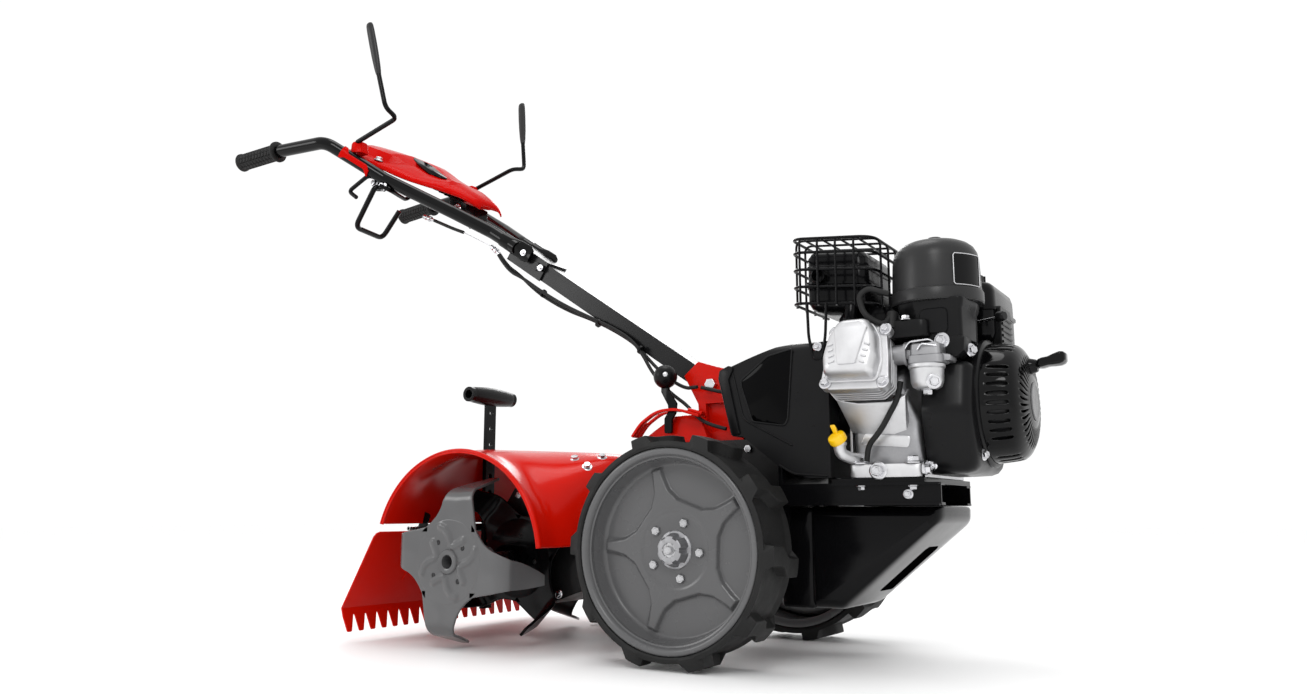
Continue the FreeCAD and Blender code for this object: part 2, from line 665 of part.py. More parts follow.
drive = new_body()
turn(drive, "XY_Plane", "H_Axis", pulley(d.drive_r))
node("drive_pulley", drive, d.belt_x, 0, d.crank_z)

lower = new_body()
turn(lower, "XY_Plane", "H_Axis", pulley(d.driven_r))
shift(lower, d.belt_x, 0, d.shaft_z)


def belt_outline(extra):
    """A closed loop of two arcs and two straights round both pulleys."""
    rear = float(d.belt_x - d.belt_width / 2)
    top = float(d.drive_r) + extra
    low = float(d.driven_r) + extra
    gap = float(d.crank_z - d.shaft_z)
    lean = math.asin((low - top) / gap)
    upper = FreeCAD.Vector(rear, 0, float(d.crank_z))
    under = FreeCAD.Vector(rear, 0, float(d.shaft_z))
    out = FreeCAD.Vector(0, math.cos(lean), math.sin(lean))
    back = FreeCAD.Vector(0, -math.cos(lean), math.sin(lean))
    arcs = [Part.Arc(upper + back * top, upper + UP * top, upper + out * top),
            Part.LineSegment(upper + out * top, under + out * low),
            Part.Arc(under + out * low, under - UP * low, under + back * low),
            Part.LineSegment(under + back * low, upper + back * top)]
    return Part.Wire([arc.toShape() for arc in arcs])


inside = 0.4
band = Part.Face(belt_outline(inside + float(d.belt_depth))).extrude(
    FreeCAD.Vector(float(d.belt_width), 0, 0))
core = Part.Face(belt_outline(inside)).extrude(FreeCAD.Vector(float(d.belt_width), 0, 0))
solid_node("drive_belt", band.cut(core))

shaft = new_body()
turn(shaft, "XY_Plane", "H_Axis", [
    (-440, 0), (d.belt_x + d.pulley_half + 6, 0), (d.belt_x + d.pulley_half + 6, d.crank_r),
    (28, d.crank_r), (28, d.worm_r), (-28, d.worm_r), (-28, d.crank_r),
    (d.tine_x + 34, d.crank_r), (d.tine_x + 34, d.tine_worm_r),
    (d.tine_x - 34, d.tine_worm_r), (d.tine_x - 34, d.crank_r), (-440, d.crank_r)])
shift(shaft, 0, 0, d.shaft_z)
node("input_shaft", fuse(shaft, lower))

# ---- engine ------------------------------------------------------------------------------

block = new_body()
pad(block, "X", d.block_rear, d.block_front, [[
    (-100, d.frame_top + 14), (92, d.frame_top + 14), (96, 400), (52, 442), (-58, 442),
    (-102, 402)]])
round_edges(block, WAY["X"], 14)
hollow(block, 6, WAY["X"] * -1)
pad(block, "Z", d.frame_top, d.frame_top + d.base_height, [rectangle(
    (d.block_rear, d.block_front), (-117, 99))])
pocket(block, "Z", d.frame_top - 1, d.frame_top + d.base_height + 1, circles=holes)
pocket(block, "X", d.block_front - 20, d.block_front + 1,
       circles=[(0, d.crank_z, d.crank_r + d.fit)])
TILT = FreeCAD.Rotation(WAY["X"], -float(d.head_tilt))


def tilted(obj):
    """Turns a primitive built about the crank axis up to the cylinder's angle."""
    return shift(obj, 271, 0, d.crank_z, TILT)


barrel = new_body()
pad(barrel, "Y", -d.head_start, -d.barrel_r, circles=[(0, 4, d.barrel_r)])
tilted(barrel)
bore = new_body()
pad(bore, "Y", -d.head_start - 1, -30, circles=[(0, 4, d.bore_r)])
tilted(bore)
filler = doc.addObject("Part::Feature", "Filler")
filler.Shape = bar([(240, -96, 288), (222, -118, 290), (213, -136, 294), (213, -136, 313.5)],
                   8, 8)
node("crankcase", cut(fuse(block, barrel, filler), bore))

cover = new_body()
pad(cover, "X", d.block_rear - 4, d.block_rear, [[
    (-96, d.frame_top + 22), (88, d.frame_top + 22), (90, 398), (50, 436), (-56, 436),
    (-96, 400)]])
pad(cover, "X", d.guard_front + 3.5, d.block_rear - 4, circles=[(0, d.crank_z, 34)])
pocket(cover, "X", d.guard_front, d.block_rear + 1, circles=[(0, d.crank_z, d.crank_r + d.fit)])
node("crankcase_cover", cover)

head = new_body()
pad(head, "Y", -d.head_end, -d.head_start, [rectangle((-62, 32), (-34, 40))])
fin = pad(head, "Y", -d.head_end, 3 - d.head_end, [rectangle((-72, 36), (-44, 50))])
along(head, [fin], "Y_Axis", d.head_end - d.head_start - 3, 6)
node("cylinder_head", head, 271, 0, d.crank_z, TILT)

rocker = new_body()
pad(rocker, "Y", -d.cover_end, -d.head_end, [rectangle((-46, 20), (-30, 38))])
round_edges(rocker, WAY["Y"], 12)
hollow(rocker, d.sheet, WAY["Y"])
node("valve_cover", rocker, 271, 0, d.crank_z, TILT)

cowl = new_body()
pad(cowl, "X", d.block_front + 1, d.cowl_front, [[
    (-92, d.cowl_low), (60, d.cowl_low), (104, 318), (108, 400), (80, 454), (-6, 454),
    (-30, 446), (-60, 424), (-100, 424), (-118, 353)]])
round_edges(cowl, WAY["X"], 10, lambda at: abs(at.y + 45) > 20)
hollow(cowl, d.sheet, WAY["X"] * -1)
pocket(cowl, "X", d.cowl_front - 10, d.cowl_front + 1, circles=[(0, d.crank_z, 71)])
node("blower_housing", cowl)

recoil = new_body()
turn(recoil, "XY_Plane", "H_Axis", [
    (d.cowl_front, d.recoil_r), (d.recoil_front - 20, d.recoil_r - 3),
    (d.recoil_front - 5, d.recoil_r - 18), (d.recoil_front, d.recoil_r - 30),
    (d.recoil_front, 26), (d.recoil_front + 3, 24), (d.recoil_front + 3, 0),
    (d.recoil_front - 3, 0), (d.recoil_front - 3, d.recoil_r - 32),
    (d.recoil_front - 8, d.recoil_r - 21), (d.recoil_front - 22, d.recoil_r - 6),
    (d.cowl_front, d.recoil_r - 3)])
slot = pocket(recoil, "X", d.recoil_front - 9, d.recoil_front + 1, [rectangle((-4, 4), (32, 50))])
around(recoil, [slot], "X_Axis", 12)
pad(recoil, "X", d.recoil_front - 22, d.recoil_front + 6, circles=[(0, 50, 9)])
pocket(recoil, "X", d.recoil_front - 30, d.recoil_front + 7, circles=[(0, 50, 3.4)])
node("recoil_cover", recoil, 0, 0, d.crank_z)

crank = new_body()
turn(crank, "XY_Plane", "H_Axis", [
    (d.belt_x - d.pulley_half - 4, 0), (d.cowl_front - 4, 0), (d.cowl_front - 4, d.crank_r),
    (292, d.crank_r), (292, 40), (282, 40), (282, 18), (262, 18), (262, 40), (252, 40),
    (252, d.crank_r), (d.belt_x - d.pulley_half - 4, d.crank_r)])
node("crankshaft", crank, 0, 0, d.crank_z)

wheel = new_body()
turn(wheel, "XY_Plane", "H_Axis", [
    (336, d.crank_r), (366, d.crank_r), (366, 26), (350, 30), (350, d.flywheel_r),
    (338, d.flywheel_r), (338, 30), (336, 26)])
vane = pad(wheel, "X", 349, 368, [rectangle((-2, 2), (46, d.flywheel_r - 4))])
around(wheel, [vane], "X_Axis", 12)
node("flywheel", wheel, 0, 0, d.crank_z)

base = new_body()
pad(base, "Z", 454, d.cap_low, [[
    (295, -92), (326, -92), (326, -106), (384, -106), (384, -22), (295, -22)]])
round_edges(base, UP, 5)
hollow(base, d.sheet, UP)
pad(base, "Z", 428, 455, [rectangle((328, 382), (-104, -76))])
node("air_cleaner_base", base)

cap = new_body()
turn(cap, "XZ_Plane", "V_Axis", [
    (0, d.cap_top + 4), (8, d.cap_top + 6), (10, d.cap_top), (32, d.cap_top - 5),
    (d.cap_r - 12, d.cap_top - 16), (d.cap_r - 4, d.cap_top - 34), (d.cap_r - 2, d.cap_low + 20),
    (d.cap_r, d.cap_low + 18), (d.cap_r, d.cap_low), (d.cap_r - 3, d.cap_low),
    (d.cap_r - 3, d.cap_low + 14), (d.cap_r - 7, d.cap_top - 35), (d.cap_r - 15, d.cap_top - 19),
    (30, d.cap_top - 9), (0, d.cap_top - 6)])
pad(cap, "Z", d.cap_low, d.cap_low + 3, circles=[(0, 0, d.cap_r - 1), (0, 0, 28)])
node("air_cleaner_cap", cap, d.cleaner_x, d.cleaner_y)

bowl = fuse(
    rod("Z", (d.bowl_low, d.bowl_low + 32), d.bowl_x, d.bowl_y, d.bowl_r),
    rod("Z", (d.bowl_low - 8, d.bowl_low), d.bowl_x, d.bowl_y, 5),
    box((d.bowl_x - 22, d.bowl_x + 22), (d.bowl_y - 14, d.bowl_y + 16),
        (d.bowl_low + 32, d.bowl_low + 66)),
    rod("Y", (d.bowl_y + 10, d.cleaner_y - 46), d.bowl_x - 2, d.bowl_low + 58, 7))
node("carburettor", bowl)

tank = new_body()
pad(tank, "Z", d.tank_low, d.tank_top, [rectangle((282, 398), (15, 165))])
round_edges(tank, UP, 20)
hollow(tank, d.sheet, UP)
pad(tank, "Z", d.tank_top - 0.5, d.tank_top + 3, [[
    (286, 30), (298, 17), (382, 17), (396, 30), (396, 150), (382, 163), (298, 163), (286, 150)]],
    [(d.filler_x, d.filler_y, 20)])
pad(tank, "Z", d.tank_top, d.tank_top + 12, circles=[
    (d.filler_x, d.filler_y, 23), (d.filler_x, d.filler_y, 20)])
node("fuel_tank", tank)

lid = new_body()
turn(lid, "XZ_Plane", "V_Axis", [
    (0, 13), (24 + d.fit, 13), (24 + d.fit, 4), (29, 4), (29, 22), (26, 25), (0, 25)])
node("fuel_cap", lid, d.filler_x, d.filler_y, d.tank_top)

can = new_body()
pad(can, "Z", d.muffler_low, d.muffler_top, [rectangle((152, 262), (-112, 22))])
round_edges(can, UP, 16)
hollow(can, 2, UP * -1)
pad(can, "Z", d.muffler_low, d.muffler_low + 2, [rectangle((168, 246), (-111, 21))])
pad(can, "Y", -119, -110, circles=[(178, 566, 10)])
pocket(can, "Y", -120, -105, circles=[(178, 566, 8)])

lean = math.radians(float(d.head_tilt))


def from_head(x, y, z):
    """A point given in the tilted cylinder's own directions."""
    return (x, y * math.cos(lean) + z * math.sin(lean),
            float(d.crank_z) - y * math.sin(lean) + z * math.cos(lean))


port = doc.addObject("Part::Feature", "Port")
port.Shape = bar([from_head(226, -144, 50.2), from_head(226, -144, 62),
                  (226, -104, 500), (226, -104, float(d.muffler_low) + 1)], 9, 10)
node("muffler", fuse(can, port))

GUARD_SLOPE = 0.1
GUARD_REAR, GUARD_FRONT = 140, 268


def leaning(x, y, z):
    """A point of the guard, whose levels fall towards the front."""
    return (x, y, z - GUARD_SLOPE * (x - GUARD_REAR))


hoops = []
for level in (523, 546, 585, 604, 622):
    hoops.append(bar([
        leaning(GUARD_FRONT, 20, level), leaning(GUARD_FRONT, -126, level),
        leaning(GUARD_REAR, -126, level), leaning(GUARD_REAR, 20, level)], d.wire_r, 14))
upright_r = d.wire_r * 0.9
for across in (160, 192, 222, 248):
    hoops.append(bar([
        leaning(across, -126.5, 520), leaning(across, -126.5, 621.4),
        leaning(across, 17, 621.4)], upright_r, 14))
for back in (-90, -45, 5):
    for across in (GUARD_REAR - 0.4, GUARD_FRONT + 0.4):
        hoops.append(bar([leaning(across, back, 520), leaning(across, back, 623)],
                         upright_r, 1))
hoops.append(bar([(168, -126, 521), (168, -129, 480), (182, -129, 455), (204, -129, 480),
                  (204, -126, 521)], upright_r, 10))
solid_node("muffler_guard", joined(hoops))

solid_node("spark_lead", bar([
    from_head(290, -150, 50.3), from_head(290, -150, 74), (262, -140, 512), (226, -145, 532),
    (204, -143, 552), (214, -136, 566)], 4, 12))

stick = new_body()
turn(stick, "XZ_Plane", "V_Axis", [
    (0, -4), (8, -4), (8, 0), (12, 2), (12, 10), (9, 14), (0, 14)])
pad(stick, "Z", 4, 10, [rectangle((-14, 14), (-5, 5))])
node("oil_dipstick", stick, 213, -136, 318)

solid_node("starter_grip", joined([
    bar([(d.recoil_front + 8, 0, 421), (d.grip_front, 0, 425)], 7, 1),
    bar([(d.recoil_front - 18, 0, 421), (d.recoil_front + 12, 0, 421)], 2.4, 1)]))

solid_node("throttle_lever", joined([
    bar([(381, -5, 491), (417, -18, 493)], 2.5, 1),
    Part.makeSphere(6.5, FreeCAD.Vector(420, -19, 493)),
    Part.makeCylinder(5, 41, FreeCAD.Vector(381, -5, 454.5))]))

# ---- hood, flap and depth stake ------------------------------------------------------------

arch = new_body()
turn(arch, "XY_Plane", "V_Axis", [
    (d.hood_r - 3, 3 - d.half_width), (d.hood_r - 9, 3 - d.half_width),
    (d.hood_r - 9, -d.half_width), (d.hood_r, -d.half_width), (d.hood_r, d.half_width),
    (d.hood_r - 9, d.half_width), (d.hood_r - 9, d.half_width - 3),
    (d.hood_r - 3, d.half_width - 3)], d.hood_sweep)
rear_angle = float(d.hood_start + d.hood_sweep)
shift(arch, d.hood_x, 0, d.hood_z, FreeCAD.Rotation(WAY["Y"], -rear_angle))
crown = new_body()
pad(crown, "Y", -d.ridge_half, d.ridge_half, [[
    (-560, 250), (-420, 296), (-320, 290), (-196, 290), (-190, 306), (-262, 318),
    (-330, d.ridge_top - 8), (-430, d.ridge_top), (-520, d.ridge_top - 4), (-556, 322)]])
apron = new_body()
pad(apron, "Y", 4 - d.half_width, d.half_width - 4, [[
    (-236, 164), (-178, 164), (-178, 236), (-252, 262)]])
front = new_body()
pad(front, "Y", -100 - d.fit, 100 + d.fit, [[
    (-352, 290), (-250, 268), (-180, 268), (-188, 303), (-262, 306), (-345, 306)]])
EAR_Y = 184
cavity = rod("Y", (-d.half_width - 1, d.half_width + 1), d.hood_x, d.hood_z, d.hood_r - 3)
under_crown = box((-546, -200), (3 - d.ridge_half, d.ridge_half - 3), (200, 318))
under_apron = box((-300, -181), (7 - d.half_width, d.half_width - 7), (150, 233))
under_front = box((-340, -184), (-97, 97), (150, 300))
passage = box((-300, -170), (-64, 64), (60, 300.5))
slot = box((d.stake_x - 6, d.stake_x + 6), (-14, 14), (150, 400))
ears = [box((-566, -544), (EAR_Y * side - 1.5, EAR_Y * side + 1.5), (184, 206))
        for side in (-1, 1)]
shell = cut(fuse(arch, crown, apron, front), cavity, under_crown, under_apron,
            under_front, passage, slot)
hinge_rod = rod("Y", (-d.rod_half, d.rod_half), d.flap_x, d.flap_z, d.rod_r)
node("tine_hood", fuse(shell, *ears, hinge_rod))

seat = new_body()
pad(seat, "Y", -d.bracket_half, d.bracket_half, [[
    (-396, d.tail_top), (-300, d.tail_top), (-300, 280), (-330, 298), (-396, 309)]])
pocket(seat, "Y", -d.bracket_half, d.bracket_half, [[
    (-386, 268), (-310, 268), (-310, 276), (-332, 290), (-386, 300)]])
node("hood_bracket", seat)

flap = new_body()
pad(flap, "Y", -d.half_width - 2, d.half_width + 2, [[
    (d.flap_x - 4, d.flap_z - 4), (d.flap_x - 8, d.flap_z - 4), (-638, 60),
    (-626, d.flap_low), (-622.5, d.flap_low), (-634, 60)]])
gap = pocket(flap, "X", -700, -590, [[
    (-249, d.flap_low - 2), (-237, d.flap_low - 2), (-239, 40), (-243, 44), (-247, 40)]])
along(flap, [gap], "Y_Axis", 486, 19)
pad(flap, "Y", -176, 176, circles=[(d.flap_x, d.flap_z, d.rod_r + 4)])
pocket(flap, "Y", -177, 177,
       circles=[(d.flap_x, d.flap_z, d.rod_r + d.fit)])
pocket(flap, "Z", d.flap_z - 12, d.flap_z + 12, [rectangle((-700, -540), (-26, 26))])
for side in (-1, 1):
    span = sorted([(EAR_Y - 4) * side, (EAR_Y + 4) * side])
    pocket(flap, "Y", span[0], span[1], circles=[(d.flap_x, d.flap_z, 15)])
node("rear_flap", flap)

stake = new_body()
pad(stake, "X", d.stake_thick * -0.5, d.stake_thick / 2, [rectangle(
    (d.stake_width * -0.5, d.stake_width / 2), (d.stake_low, d.stake_top))])
hole = pocket(stake, "X", d.stake_thick * -1, d.stake_thick, circles=[(0, 75, 5.2)])
along(stake, [hole], "Z_Axis", d.stake_pitch * 11, 12)
pad(stake, "Y", -d.stake_grip_half, d.stake_grip_half,
    circles=[(0, d.stake_top + 4, d.stake_grip_r)])
pocket(stake, "Y", -d.stake_grip_half, 16 - d.stake_grip_half,
       circles=[(0, d.stake_top + 4, 8)])
node("depth_stake", stake, d.stake_x)

lever = new_body()
pad(lever, "Y", d.gear_y - 2.5, d.gear_y + 2.5, [[
    (d.gear_x - 8, d.gear_z - 8), (d.gear_x + 8, d.gear_z - 8), (d.gear_x + 8, 392),
    (d.gear_x + 2, 406), (d.gear_x + 2, 428), (d.gear_x - 6, 428), (d.gear_x - 6, 404),
    (d.gear_x - 8, 394)]])
pocket(lever, "Y", d.gear_y - 4, d.gear_y + 4, circles=[(d.gear_x, d.gear_z, 4 + d.fit)])
handle_ball = ball(d.gear_x - 2, d.gear_y, d.knob_z, d.knob_r)
collar = rod("Z", (d.knob_z - 32, d.knob_z - 10), d.gear_x - 2, d.gear_y, 8)
node("gear_lever", fuse(lever, handle_ball, collar))

# ---- handle --------------------------------------------------------------------------------

SLOPE = FreeCAD.Rotation(WAY["Y"], 180 + float(d.column_slope))

column = new_body()
half = d.column_half
top = -d.column_above
low = d.column_height - d.column_above
wall = d.column_wall
pad(column, "X", -14, d.column_end, [
    rectangle((-half, half), (top, low)),
    rectangle((wall - half, half - wall), (top + wall, low - wall))])
pocket(column, "Y", -half - 1, half + 1, circles=[(0, 0, 6)])
node("column", column, d.pivot_x, 0, d.pivot_z, SLOPE)

clamp = new_body()
outer = d.clamp_half
pad(clamp, "X", d.column_end - 76, d.column_end + 18, [[
    (-outer, low + 2), (-outer, top - 4), (outer, top - 4), (outer, low + 2), (outer - 3.5, low + 2),
    (outer - 3.5, top - 0.2), (3.5 - outer, top - 0.2), (3.5 - outer, low + 2)]])
for along_x in (56, 12):
    for side in (-1, 1):
        span = sorted([outer * side, (outer + 4) * side], key=float)
        pad(clamp, "Y", span[0], span[1], circles=[(d.column_end - along_x, 5, 8)])
node("fork_clamp", clamp, d.pivot_x, 0, d.pivot_z, SLOPE)


def bar_points(side):
    """The centre line of one handlebar tube."""
    return [(-452, 43.5 * side, 708), (-512, 46 * side, 747), (-585, 80 * side, 790),
            (-716, 132 * side, 864), (-806, 207 * side, 934), (-920, 219.5 * side, 934),
            (-1032, 227 * side, 927)]


for side, name in ((-1, "right"), (1, "left")):
    points = bar_points(side)
    tube = bar(points, d.bar_r, d.bar_bend).cut(bar(points, d.bar_r - d.bar_wall, d.bar_bend))
    solid_node(f"handlebar_{name}", tube)
    last = vec(points[-1])
    aim = (last - vec(points[-2])).normalize()
    ribs = []
    for index in range(8):
        start = 12 + 11 * index
        ribs += [(d.grip_r, start), (d.grip_r, start + 7), (d.grip_r - 1.2, start + 8),
                 (d.grip_r - 1.2, start + 10)]
    inner = d.bar_r + d.fit
    grip = new_body()
    turn(grip, "XZ_Plane", "V_Axis", [
        (inner, 0), (21, 0), (21, 4), (d.grip_r, 6), *ribs, (d.grip_r, d.grip_length),
        (d.grip_r - 3, d.grip_length + 3), (0, d.grip_length + 3),
        (0, d.grip_length), (inner, d.grip_length)])
    start = last - aim * float(d.grip_length - 0.5)
    node(f"grip_{name}", grip, start.x, start.y, start.z, FreeCAD.Rotation(UP, aim))


def section(width, low_z, mid_z, top_z):
    """One cross section of the console."""
    return [(width, low_z), (width, mid_z), (width * 0.5, top_z), (-width * 0.5, top_z),
            (-width, mid_z), (-width, low_z)]


STATIONS = ((-522, (30, 776, 784, 800)), (-590, (76, 814, 826, 848)),
            (-700, (132, 882, 890, 916)), (-785, (170, 944, 950, 962)),
            (-846, (112, 954, 958, 968)))


def console_loft(kind, shrink, drop):
    """Lofts the console's cross sections, shrunk by a wall and dropped below it."""
    sections = []
    for at_x, (width, low_z, mid_z, top_z) in STATIONS:
        shape = section(width - shrink, low_z - drop, mid_z - shrink, top_z - shrink)
        sections.append(sketch(console, "YZ_Plane", [shape], (), at_x))
    loft = console.newObject(kind, "Loft")
    loft.Profile = sections[0]
    loft.Sections = sections[1:]
    loft.Ruled = True


console = new_body()
console_loft("PartDesign::AdditiveLoft", 0, 0)
console_loft("PartDesign::SubtractiveLoft", d.sheet, 30)
node("console", console)

for side, name in ((-1, "right"), (1, "left")):
    path = [(-756, 160 * side, 934), (-756, 173 * side, 934), (-648, 173 * side, 962),
            (-643, 207 * side, 971), (-656, 216 * side, 1039)]
    paddle = bar([(-655, 215.5 * side, 1034), (-673, 229 * side, 1139)], 9, 1)
    solid_node(f"clutch_lever_{name}", joined([bar(path, d.lever_r, 10), paddle]))

solid_node("reverse_bail", bar([
    (-722, -126, 846), (-722, -150, 846), (-773, -150, 771), (-794, -60, 772),
    (-748, -60, 822)], d.bail_r, 14))

solid_node("column_cables", bar([
    (-508, -33, 715), (-470, -34, 668), (-395, -33, 611), (-340, -31, 578), (-235, -29.5, 530),
    (-178, -29.5, 493), (-140, -34, 452), (-96, -44, 424),
    (-72, -62, 419), (-52, -64, 417)],
    d.cable_r, 40, "column cable"))
solid_node("guard_cables", bar([
    (-48, -63, 416.5), (-20, -60, 409), (21, -54, 401)], d.cable_r, 40, "guard cable"))

# ---- checks and export -----------------------------------------------------------------------

doc.recompute()
for item in doc.Objects:
    broken = {"Invalid", "Error"} & set(item.State)
    if broken:
        raise RuntimeError(f"{item.Name} ({item.Label}) is {broken}")
for item in nodes:
    if item.Shape.isNull() or not item.Shape.isValid():
        raise RuntimeError(f"{item.Label} has no valid shape")
os.makedirs("parts", exist_ok=True)
for item in nodes:
    item.Shape.exportStep(f"parts/{item.Label}.step")
whole = Part.makeCompound([item.Shape for item in nodes])
print(len(nodes), "sub-parts, bounds", whole.BoundBox)
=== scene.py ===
import json
import math

import bmesh
import bpy
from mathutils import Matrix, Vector


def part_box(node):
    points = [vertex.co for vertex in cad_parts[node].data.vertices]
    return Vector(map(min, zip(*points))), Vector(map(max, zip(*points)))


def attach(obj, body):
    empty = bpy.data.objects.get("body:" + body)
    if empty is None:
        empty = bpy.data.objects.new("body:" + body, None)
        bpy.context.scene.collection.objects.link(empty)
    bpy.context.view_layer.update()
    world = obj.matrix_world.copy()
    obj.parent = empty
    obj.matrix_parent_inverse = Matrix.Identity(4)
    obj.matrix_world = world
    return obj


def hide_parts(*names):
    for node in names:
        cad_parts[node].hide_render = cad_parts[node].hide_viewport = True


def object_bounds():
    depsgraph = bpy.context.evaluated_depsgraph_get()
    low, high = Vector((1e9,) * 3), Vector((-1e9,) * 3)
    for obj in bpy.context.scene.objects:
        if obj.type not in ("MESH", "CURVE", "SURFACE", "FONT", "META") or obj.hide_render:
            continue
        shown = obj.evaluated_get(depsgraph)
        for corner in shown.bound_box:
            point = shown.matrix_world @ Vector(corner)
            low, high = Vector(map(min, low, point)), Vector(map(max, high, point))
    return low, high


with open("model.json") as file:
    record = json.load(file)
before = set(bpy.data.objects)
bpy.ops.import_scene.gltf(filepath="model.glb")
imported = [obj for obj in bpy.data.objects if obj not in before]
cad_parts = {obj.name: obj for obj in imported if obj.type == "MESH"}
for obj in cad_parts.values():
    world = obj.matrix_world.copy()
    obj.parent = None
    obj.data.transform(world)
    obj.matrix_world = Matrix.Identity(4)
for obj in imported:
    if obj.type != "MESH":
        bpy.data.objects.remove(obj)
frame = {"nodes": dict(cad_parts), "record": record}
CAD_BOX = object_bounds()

NODES = frame["nodes"]
MM = 0.001
SIDES = ((-1, "right"), (1, "left"))
UP, DOWN = (0, 0, 1), (0, 0, -1)
LEFT, RIGHT = (0, 1, 0), (0, -1, 0)
FORWARD, BACK = (1, 0, 0), (-1, 0, 0)


def box_of(node):
    """The low and the high corner of a CAD node's box."""
    low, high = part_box(node)
    return Vector(low), Vector(high)


def centre(node):
    """The middle of a CAD node's box."""
    low, high = box_of(node)
    return (low + high) / 2


AXLE = centre("axle_shaft")
WHEEL_RADIUS = 165

# ---- materials ----


class Look:
    """A small helper that wires up one procedural material."""

    def __init__(self, name, colour, rough, metal=0.0):
        self.material = bpy.data.materials.new(name)
        self.material.use_nodes = True
        self.tree = self.material.node_tree
        self.shader = self.tree.nodes["Principled BSDF"]
        self.shader.inputs["Metallic"].default_value = metal
        self.colour = colour
        self.rough = rough
        self.place = self.tree.nodes.new("ShaderNodeTexCoord").outputs["Object"]
        self.bump = None

    def noise(self, scale, detail=4.0, stretch=(1, 1, 1)):
        """A noise value over the object's own coordinates."""
        spread = self.tree.nodes.new("ShaderNodeMapping")
        spread.inputs["Scale"].default_value = stretch
        self.tree.links.new(self.place, spread.inputs["Vector"])
        node = self.tree.nodes.new("ShaderNodeTexNoise")
        node.inputs["Scale"].default_value = scale
        node.inputs["Detail"].default_value = detail
        self.tree.links.new(spread.outputs["Vector"], node.inputs["Vector"])
        return node.outputs["Fac"]

    def ramp(self, value, low, high, start, end):
        """Maps a value range onto another."""
        node = self.tree.nodes.new("ShaderNodeMapRange")
        for name, number in (("From Min", low), ("From Max", high), ("To Min", start),
                ("To Max", end)):
            node.inputs[name].default_value = number
        self.tree.links.new(value, node.inputs["Value"])
        return node.outputs["Result"]

    def tint(self, value, other, amount):
        """Blends the colour towards another one by a value."""
        node = self.tree.nodes.new("ShaderNodeMix")
        node.data_type = "RGBA"
        node.inputs["A"].default_value = (*self.colour, 1)
        node.inputs["B"].default_value = (*other, 1)
        self.tree.links.new(self.ramp(value, 0.3, 0.75, 0.0, amount), node.inputs["Factor"])
        self.tree.links.new(node.outputs["Result"], self.shader.inputs["Base Color"])
        return self

    def roughness(self, value, spread):
        """Varies the roughness about its middle value."""
        changed = self.ramp(value, 0.25, 0.75, self.rough - spread, self.rough + spread)
        self.tree.links.new(changed, self.shader.inputs["Roughness"])
        return self

    def relief(self, value, strength, depth):
        """Adds a bump layer."""
        node = self.tree.nodes.new("ShaderNodeBump")
        node.inputs["Strength"].default_value = strength
        node.inputs["Distance"].default_value = depth
        self.tree.links.new(value, node.inputs["Height"])
        if self.bump is not None:
            self.tree.links.new(self.bump.outputs["Normal"], node.inputs["Normal"])
        self.tree.links.new(node.outputs["Normal"], self.shader.inputs["Normal"])
        self.bump = node
        return self

    def gloss(self, level):
        """Sets how much the surface mirrors."""
        self.shader.inputs["Specular IOR Level"].default_value = level
        return self


def paint(name, colour, deeper, rough, level):
    """Gloss paint with a faint orange peel and slight colour drift."""
    look = Look(name, colour, rough)
    look.tint(look.noise(5, 3), deeper, 0.5)
    look.roughness(look.noise(18, 5), 0.05)
    look.relief(look.noise(420, 2), 0.02, 0.0003)
    return look.gloss(level).material


def plastic(name, colour, paler, rough=0.5, grain=900, depth=0.00012, level=0.3):
    """Moulded plastic with a fine spark-eroded grain and dusty patches."""
    look = Look(name, colour, rough)
    look.tint(look.noise(9, 6), paler, 0.3)
    look.roughness(look.noise(30, 6), 0.07)
    look.relief(look.noise(grain, 3), 0.3, depth)
    return look.gloss(level).material


def metal(name, colour, darker, rough, grain=(1, 1, 1), scale=160, strength=0.12):
    """Bare or plated metal with machining or casting texture."""
    look = Look(name, colour, rough, 1.0)
    look.tint(look.noise(26, 6), darker, 0.6)
    look.roughness(look.noise(scale, 5, grain), 0.08)
    look.relief(look.noise(scale * 2, 4, grain), strength, 0.0002)
    return look.material


def rubber(name, colour, paler):
    """Moulded rubber: dull, with bloom and a fine grain."""
    look = Look(name, colour, 0.62)
    look.tint(look.noise(14, 8), paler, 0.5)
    look.roughness(look.noise(40, 6), 0.1)
    look.relief(look.noise(700, 4), 0.3, 0.0003)
    return look.gloss(0.3).material


RED = paint("red_gloss", (0.56, 0.006, 0.001), (0.42, 0.004, 0.0008), 0.2, 0.13)
RED_PLASTIC = paint("red_moulded", (0.5, 0.003, 0.0015), (0.42, 0.002, 0.001), 0.2, 0.03)
BLACK_PAINT = paint("black_satin", (0.002, 0.002, 0.0024), (0.005, 0.005, 0.0055), 0.18, 0.12)
BLACK_PLASTIC = plastic("black_moulded", (0.004, 0.004, 0.0044), (0.01, 0.01, 0.0105), 0.32,
    level=0.14)
GLOSS_PLASTIC = paint("black_gloss", (0.0015, 0.0015, 0.0018), (0.003, 0.003, 0.003), 0.07, 0.17)
COLUMN_PAINT = paint("black_column", (0.004, 0.004, 0.0044), (0.008, 0.008, 0.0085), 0.26, 0.2)
CAP_PLASTIC = plastic("black_cap", (0.02, 0.02, 0.0205), (0.03, 0.03, 0.03), 0.32, level=0.2)
WINDOW_BLACK = paint("black_mirror", (0.0008, 0.0008, 0.001), (0.0015, 0.0015, 0.0016), 0.04, 0.06)
# Near-black look with no reflection: painted shade for the inside of the pan's slot.
SLOT_SHADE = plastic("painted_slot_shade", (0.0008, 0.0008, 0.0009), (0.002, 0.002, 0.002), 0.9, level=0.0)
GREY_PAINT = paint("wheel_grey", (0.095, 0.095, 0.097), (0.065, 0.065, 0.067), 0.26, 0.4)
